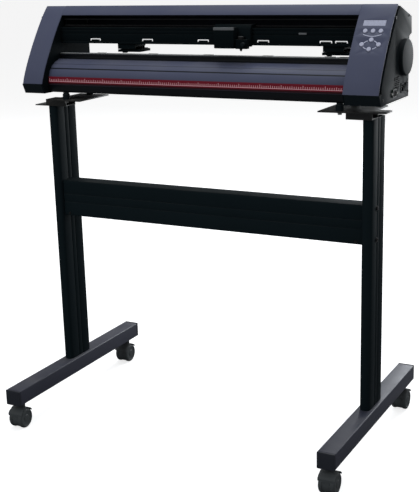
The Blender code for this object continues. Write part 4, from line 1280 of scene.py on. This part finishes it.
class CUTTER_OT_fasteners(bpy.types.Operator):
    """Bolts of the stand and screws of the casing"""

    bl_idname = "cutter.fasteners"
    bl_label = "Fasteners"
    bl_options = {"REGISTER", "UNDO"}

    def execute(self, context):
        sizes = context.scene.cutter_sizes
        beam_low, beam_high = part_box("crossbeam")
        places, facings = [], []
        for side, sign in (("left", -1), ("right", 1)):
            low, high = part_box("upright_" + side)
            x = high.x if sign > 0 else low.x
            for z in (beam_low.z + STAND_BOLT_INSET, beam_high.z - STAND_BOLT_INSET):
                places.append((x - sign * SINK, STAND_BOLT_Y, z))
                facings.append((sign, 0, 0))
        fasteners("stand_bolts", "frame", places, facings, sizes.bolt_radius, 3 * MM)
        places = [(sign * CROSSBEAM_SCREW_X, beam_low.y + SINK, beam_low.z + 6 * MM) for sign in (-1, 1)]
        fasteners("crossbeam_screws", "frame", places, [(0, -1, 0)] * 2, sizes.screw_radius, 2 * MM)
        places, facings = [], []
        for side, sign in (("left", -1), ("right", 1)):
            low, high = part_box("support_bracket_" + side)
            for y in BRACKET_BOLT_Y:
                places.append((sign * BRACKET_BOLT_X, y, high.z - 3.1 * MM))
                facings.append((0, 0, -1))
        fasteners("bracket_bolts", "frame", places, facings, 5.2 * MM, 4.5 * MM, 6, 1.35, "zinc")
        places, facings = [], []
        for side, sign in (("left", -1), ("right", 1)):
            x = wall_x("end_cover_" + side, sign, 0.85)
            for y, z in COVER_SCREWS:
                places.append((x - sign * SINK, y, z))
                facings.append((sign, 0, 0))
        fasteners("cover_screws", "frame", places, facings, sizes.screw_radius, 1.4 * MM, 20, 1.1)
        low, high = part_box("top_cover")
        step = (high.x - low.x) / TOP_SCREW_COUNT
        places = [(low.x + step * (k + 0.5), high.y - SINK, low.z + 12 * MM) for k in range(TOP_SCREW_COUNT)]
        fasteners("top_cover_screws", "frame", places, [(0, 1, 0)] * TOP_SCREW_COUNT, sizes.screw_radius,
                  1.4 * MM, 20, 1.1)
        places, facings = [], []
        for node in ("feed_motor", "carriage_motor"):
            low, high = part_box(node)
            along_x = node == "feed_motor"
            for one in (0.12, 0.88):
                for two in (0.12, 0.88):
                    z = low.z + (high.z - low.z) * two
                    if along_x:
                        places.append((high.x - 0.2 * MM, low.y + (high.y - low.y) * one, z))
                        facings.append((1, 0, 0))
                    else:
                        places.append((low.x + (high.x - low.x) * one, high.y - 0.2 * MM, z))
                        facings.append((0, 1, 0))
        fasteners("motor_screws", "frame", places, facings, 1.9 * MM, 1.2 * MM, 16, 1.05, "zinc")
        return {"FINISHED"}


class CUTTER_OT_carriage_highlight(bpy.types.Operator):
    """A pale strip on the carriage cover's top front edge as a painted highlight, and a small pale patch on
    the rail
    """

    bl_idname = "cutter.carriage_trim"
    bl_label = "Carriage Highlight"
    bl_options = {"REGISTER", "UNDO"}

    def execute(self, context):
        low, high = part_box("carriage_cover")
        rail_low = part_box("guide_rail")[0]
        spots = {
            # painted highlight: a pale grey strip where the cover's top front chamfer catches light
            "cover_edge_highlight": ("carriage", (low.x - 0.6 * MM, low.y - 0.5 * MM, high.z - 5.5 * MM),
                           (high.x + 0.2 * MM, low.y + 4 * MM, high.z + 0.5 * MM)),
            # a small pale grey patch on the rail
            "pale_rail_patch": ("frame", (PALE_PATCH_X[0], rail_low.y - 1.4 * MM, rail_low.z + 24 * MM),
                            (PALE_PATCH_X[1], rail_low.y - SINK, rail_low.z + 28 * MM)),
        }
        for name, (body, start, end) in spots.items():
            settle(box_piece(name, [(start, end)], MATERIALS["trim"], 0.5 * MM, 3), body)
        return {"FINISHED"}


class CUTTER_OT_sockets(bpy.types.Operator):
    """The data socket's metal shell, its dark insert and jack screws, and the power inlet's pins"""

    bl_idname = "cutter.sockets"
    bl_label = "Sockets"
    bl_options = {"REGISTER", "UNDO"}

    def execute(self, context):
        mesh = frame["nodes"]["mainboard"].data
        outer = [v.co for v in mesh.vertices if v.co.x > SOCKET_WALL_X]
        y0, y1 = min(co.y for co in outer), max(co.y for co in outer)
        z0, z1 = min(co.z for co in outer), max(co.z for co in outer)
        x = max(co.x for co in outer) + 0.3 * MM
        work = bmesh.new()
        rings = []
        for depth, inset in ((0, 0.2), (1.6, 0.2), (1.8, 0.4), (1.8, 2.2), (1.4, 2.6), (0, 2.6)):
            corners = ((y0, z0, 1, 1), (y1, z0, -1, 1), (y1, z1, -1, -1), (y0, z1, 1, -1))
            rings.append([work.verts.new((x + depth * MM, y + dy * inset * MM, z + dz * inset * MM))
                          for y, z, dy, dz in corners])
        for one, two in zip(rings, rings[1:] + rings[:1]):
            for k in range(4):
                work.faces.new((one[k], one[(k + 1) % 4], two[(k + 1) % 4], two[k]))
        settle(add_object("socket_shell", mesh_from("socket_shell", work), MATERIALS["black_oxide"]), "frame")
        core = [((x - 9 * MM, y0 + 2.8 * MM, z0 + 2.8 * MM), (x + 0.6 * MM, y1 - 2.8 * MM, z1 - 2.8 * MM))]
        settle(box_piece("socket_insert", core, MATERIALS["void"], 0.4 * MM, 2), "frame")
        low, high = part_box("power_inlet")
        middle = (low + high) / 2
        pins = []
        for dy, dz in INLET_PINS:
            corner = Vector((-14 * MM, (dy - 0.8) * MM, (dz - 1.6) * MM))
            across = Vector((-2 * MM, (dy + 0.8) * MM, (dz + 1.6) * MM))
            centre = Vector((high.x, middle.y, middle.z))
            pins.append((centre + corner, centre + across))
        settle(box_piece("inlet_pins", pins, MATERIALS["zinc"], 0.3 * MM, 2), "frame")
        wall = wall_x("end_cover_right", 1, z0 - 0.004)
        places = [(wall - SINK, y, (z0 + z1) / 2) for y in (y0 - 4.2 * MM, y1 + 4.2 * MM)]
        fasteners("jack_screws", "frame", places, [(1, 0, 0)] * 2, 2.4 * MM, 3 * MM, 6, 1.15, "zinc")
        return {"FINISHED"}


def wall_x(node, sign, height):
    """How far out a shell's flat side lies, from its large faces that look along X near a height."""
    best = 0.0
    reach = 0.0
    for polygon in frame["nodes"][node].data.polygons:
        if polygon.normal.x * sign > 0.999 and polygon.area > best and abs(polygon.center.z - height) < 0.2:
            best = polygon.area
            reach = polygon.center.x
    return reach


def spring_tree():
    """A coil spring standing on each point."""
    tree, given, end = geometry_tree(
        "coil_springs",
        {
            "Turns": 5.0,
            "Coil Radius": 0.0028,
            "Wire Radius": 0.00045,
            "Height": 0.006,
        },
    )
    coil = add_node(tree, "GeometryNodeCurveSpiral", Resolution=18, Rotations=given["Turns"],
                    Start_Radius=given["Coil Radius"], End_Radius=given["Coil Radius"],
                    Height=given["Height"])
    wire = add_node(tree, "GeometryNodeCurvePrimitiveCircle", Resolution=7, Radius=given["Wire Radius"])
    tube = add_node(tree, "GeometryNodeCurveToMesh", Curve=coil.outputs[0], Profile_Curve=wire.outputs[0])
    tube.inputs["Fill Caps"].default_value = True
    spread = scatter(tree, given["Geometry"], tube.outputs[0])
    close_tree(tree, spread, given, end)
    return tree


class CUTTER_OT_pinch_springs(bpy.types.Operator):
    """Coil springs under each pinch bracket, seated on the arm"""

    bl_idname = "cutter.pinch_springs"
    bl_label = "Pinch Springs"
    bl_options = {"REGISTER", "UNDO"}

    def execute(self, context):
        for side in ("left", "right"):
            low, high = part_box("pinch_bracket_" + side)
            places = [(x, *PINCH_SPRING) for x in (low.x + 10 * MM, high.x - 6 * MM)]
            values = {"Height": 5.8 * MM, "Material": MATERIALS["zinc"]}
            name = "pinch_springs_" + side
            piece = run_tree(name, points_mesh(name, places), tree_of("coil_springs"), values)
            settle(piece, BODY_OF["pinch_bracket_" + side])
        return {"FINISHED"}


def board_tree():
    """Components scattered in rows over a circuit board, each of its own size."""
    tree, given, end = geometry_tree(
        "board_parts",
        {
            "Seed": 4,
            "Smallest": 0.5,
            "Largest": 1.5,
            "Body Size": (0.007, 0.005, 0.0022),
        },
    )
    block = add_node(tree, "GeometryNodeMeshCube", Size=given["Body Size"]).outputs[0]
    across = add_node(tree, "FunctionNodeRandomValue", {"data_type": "FLOAT"}, Seed=given["Seed"])
    turn = add_node(tree, "FunctionNodeRandomValue", {"data_type": "INT"}, Seed=given["Seed"])
    for socket in across.inputs:
        if socket.name in ("Min", "Max") and socket.type == "VALUE":
            tree.links.new(given["Smallest" if socket.name == "Min" else "Largest"], socket)
    for socket in turn.inputs:
        if socket.name in ("Min", "Max") and socket.type == "INT":
            socket.default_value = 0 if socket.name == "Min" else 1
    size = next(out for out in across.outputs if out.type == "VALUE" and out.enabled)
    whole = next(out for out in turn.outputs if out.type == "INT")
    quarter = math_node(tree, "MULTIPLY", whole, math.pi / 2)
    angle = vector_node(tree, Z=quarter)
    angle = add_node(tree, "FunctionNodeEulerToRotation", Euler=angle).outputs[0]
    scale = vector_node(tree, X=size, Y=size, Z=1.0)
    spread = scatter(tree, given["Geometry"], block, Rotation=angle, Scale=scale)
    close_tree(tree, spread, given, end)
    return tree


class CUTTER_OT_board_parts(bpy.types.Operator):
    """Chips and connectors on the circuit board"""

    bl_idname = "cutter.board_parts"
    bl_label = "Board Parts"
    bl_options = {"REGISTER", "UNDO"}

    def execute(self, context):
        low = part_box("mainboard")[0]
        surface = low.z + 1.7 * MM
        for name, look, seed, rows, size in (
            ("board_chips", "void", 4, (12, 27, 42), (7, 5, 2.2)),
            ("board_connectors", "white_nylon", 9, (20, 34), (4, 3, 4)),
        ):
            places = []
            for row in rows:
                for column in range(6):
                    y = low.y + (14 + 22 * column) * MM
                    places.append((low.x + row * MM, y, surface + size[2] / 2 * MM))
            values = {"Seed": seed, "Body Size": [k * MM for k in size], "Material": MATERIALS[look]}
            piece = run_tree(name, points_mesh(name, places), tree_of("board_parts"), values)
            settle(piece, "frame")
        return {"FINISHED"}


class CUTTER_OT_side_vents(bpy.types.Operator):
    """Vent slots through both side shells"""

    bl_idname = "cutter.side_vents"
    bl_label = "Side Vents"
    bl_options = {"REGISTER", "UNDO"}

    def execute(self, context):
        sizes = context.scene.cutter_sizes
        for side, sign in (("left", -1), ("right", 1)):
            piece = bpy.data.objects[f"end_cover_{side}_finish"]
            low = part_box("end_cover_" + side)[0]
            x = sign * SIDE_WALL_X
            values = {
                "Count": sizes.vent_count,
                "Start": (x, VENT_Y, low.z + 28 * MM),
                "Material": MATERIALS["black_plastic"],
            }
            grow(piece, tree_of("vent_slots"), values)
            plain(piece)
        return {"FINISHED"}


class CUTTER_OT_stage(bpy.types.Operator):
    """Floor, soft studio light and camera"""

    bl_idname = "cutter.stage"
    bl_label = "Stage"
    bl_options = {"REGISTER", "UNDO"}

    def execute(self, context):
        work = bmesh.new()
        bmesh.ops.create_circle(work, cap_ends=True, radius=60.0, segments=96)
        floor = add_object("floor", mesh_from("floor", work),
                           floor_material(context.scene.cutter_colours.floor))
        scene = bpy.context.scene
        scene.world = studio_world(0.22)
        scene.view_settings.view_transform = "Standard"
        softbox("front_light", (-1.0, -3.4, 2.6), (0, 0, 0.6), (2.2, 2.2), 32, False)
        softbox("side_light", (3.4, -0.2, 1.6), (0, 0, 0.6), (2.0, 2.6), 5, False)
        softbox("rear_light", (0.7, 4.2, 1.5), (0.2, 0, 1.0), (3.4, 2.6), 95)
        softbox("back_light", (-2.6, 3.0, 3.0), (0, 0, 0.6), (2.0, 2.0), 16, False)
        softbox("top_light", (0.0, 0.8, 4.4), (0, 0, 0.7), (3.0, 2.4), 60)
        data = bpy.data.cameras.new("camera")
        data.lens = LENS
        data.sensor_fit = "AUTO"
        data.sensor_width = 36.0
        data.clip_end = 300.0
        camera = bpy.data.objects.new("camera", data)
        scene.collection.objects.link(camera)
        forward = Vector(
            (-math.sin(YAW) * math.cos(PITCH), math.cos(YAW) * math.cos(PITCH), -math.sin(PITCH))
        )
        level = Vector((math.cos(YAW), math.sin(YAW), 0.0))
        up = level.cross(forward)
        right = level * math.cos(ROLL) + up * math.sin(ROLL)
        top = up * math.cos(ROLL) - level * math.sin(ROLL)
        turn = Matrix((right, top, -forward)).transposed().to_4x4()
        camera.matrix_world = Matrix.Translation(EYE) @ turn
        scene.camera = camera
        return {"FINISHED"}


def softbox(name, place, target, size, power, mirrored=True):
    data = bpy.data.lights.new(name, "AREA")
    data.shape = "RECTANGLE"
    data.size, data.size_y = size
    data.energy = power
    data.color = (0.93, 0.97, 1.0)
    lamp = bpy.data.objects.new(name, data)
    lamp.location = place
    lamp.rotation_mode = "QUATERNION"
    lamp.rotation_quaternion = (Vector(target) - Vector(place)).to_track_quat("-Z", "Y")
    lamp.visible_camera = False
    lamp.visible_glossy = mirrored
    bpy.context.scene.collection.objects.link(lamp)


def studio_world(strength):
    """White to look at, and a dimmer surround for the light that it gives."""
    world = bpy.data.worlds.new("studio")
    world.use_nodes = True
    tree = world.node_tree
    seen = add_node(tree, "ShaderNodeLightPath").outputs["Is Camera Ray"]
    level = add_node(tree, "ShaderNodeMapRange", Value=seen, To_Min=strength, To_Max=1.0).outputs[0]
    tree.links.new(level, tree.nodes["Background"].inputs["Strength"])
    tree.nodes["Background"].inputs["Color"].default_value = (1.0, 1.0, 1.0, 1.0)
    return world


def floor_material(colour):
    """A pale sweep that stays white to look at and throws little light back up."""
    made = bpy.data.materials.new("studio_floor")
    made.use_nodes = True
    tree = made.node_tree
    shader = tree.nodes["Principled BSDF"]
    place = object_place(tree)
    noise = add_node(tree, "ShaderNodeTexNoise", Vector=place, Scale=1.5, Detail=2.0).outputs["Fac"]
    body = mix(tree, noise, rgba(colour, 0.995), rgba(colour, 1.005))
    seen = add_node(tree, "ShaderNodeLightPath").outputs["Is Camera Ray"]
    tree.links.new(mix(tree, seen, (0.16, 0.16, 0.165, 1), body), shader.inputs["Base Color"])
    shader.inputs["Roughness"].default_value = 0.9
    shader.inputs["Specular IOR Level"].default_value = 0.1
    shader.inputs["Emission Color"].default_value = (1.0, 1.0, 1.0, 1.0)
    tree.links.new(math_node(tree, "MULTIPLY", seen, 0.72), shader.inputs["Emission Strength"])
    return made


OPERATORS = (
    CUTTER_OT_finishes,
    CUTTER_OT_rounded_edges,
    CUTTER_OT_feet,
    CUTTER_OT_casters,
    CUTTER_OT_ruler_ticks,
    CUTTER_OT_rail_marks,
    CUTTER_OT_grit_points,
    CUTTER_OT_belt_teeth,
    CUTTER_OT_panel_print,
    CUTTER_OT_fasteners,
    CUTTER_OT_side_vents,
    CUTTER_OT_carriage_highlight,
    CUTTER_OT_sockets,
    CUTTER_OT_board_parts,
    CUTTER_OT_pinch_springs,
    CUTTER_OT_stage,
)


class CUTTER_PT_panel(bpy.types.Panel):
    """The cutter's pieces, in the order in which they are made"""

    bl_idname = "CUTTER_PT_panel"
    bl_label = "Vinyl Cutter"
    bl_space_type = "VIEW_3D"
    bl_region_type = "UI"
    bl_category = "Cutter"

    def draw(self, context):
        for kind in OPERATORS:
            self.layout.operator(kind.bl_idname)
        for settings in (context.scene.cutter_sizes, context.scene.cutter_colours):
            box = self.layout.box()
            for key in settings.__annotations__:
                box.prop(settings, key)


CLASSES = (CutterSizes, CutterColours, *OPERATORS, CUTTER_PT_panel)


def register():
    for kind in CLASSES:
        bpy.utils.register_class(kind)
    bpy.types.Scene.cutter_sizes = PointerProperty(type=CutterSizes)
    bpy.types.Scene.cutter_colours = PointerProperty(type=CutterColours)


def unregister():
    del bpy.types.Scene.cutter_colours
    del bpy.types.Scene.cutter_sizes
    for kind in reversed(CLASSES):
        bpy.utils.unregister_class(kind)


def main():
    register()
    for kind in OPERATORS:
        area, name = kind.bl_idname.split(".")
        getattr(getattr(bpy.ops, area), name)()


if __name__ == "__main__":
    main()
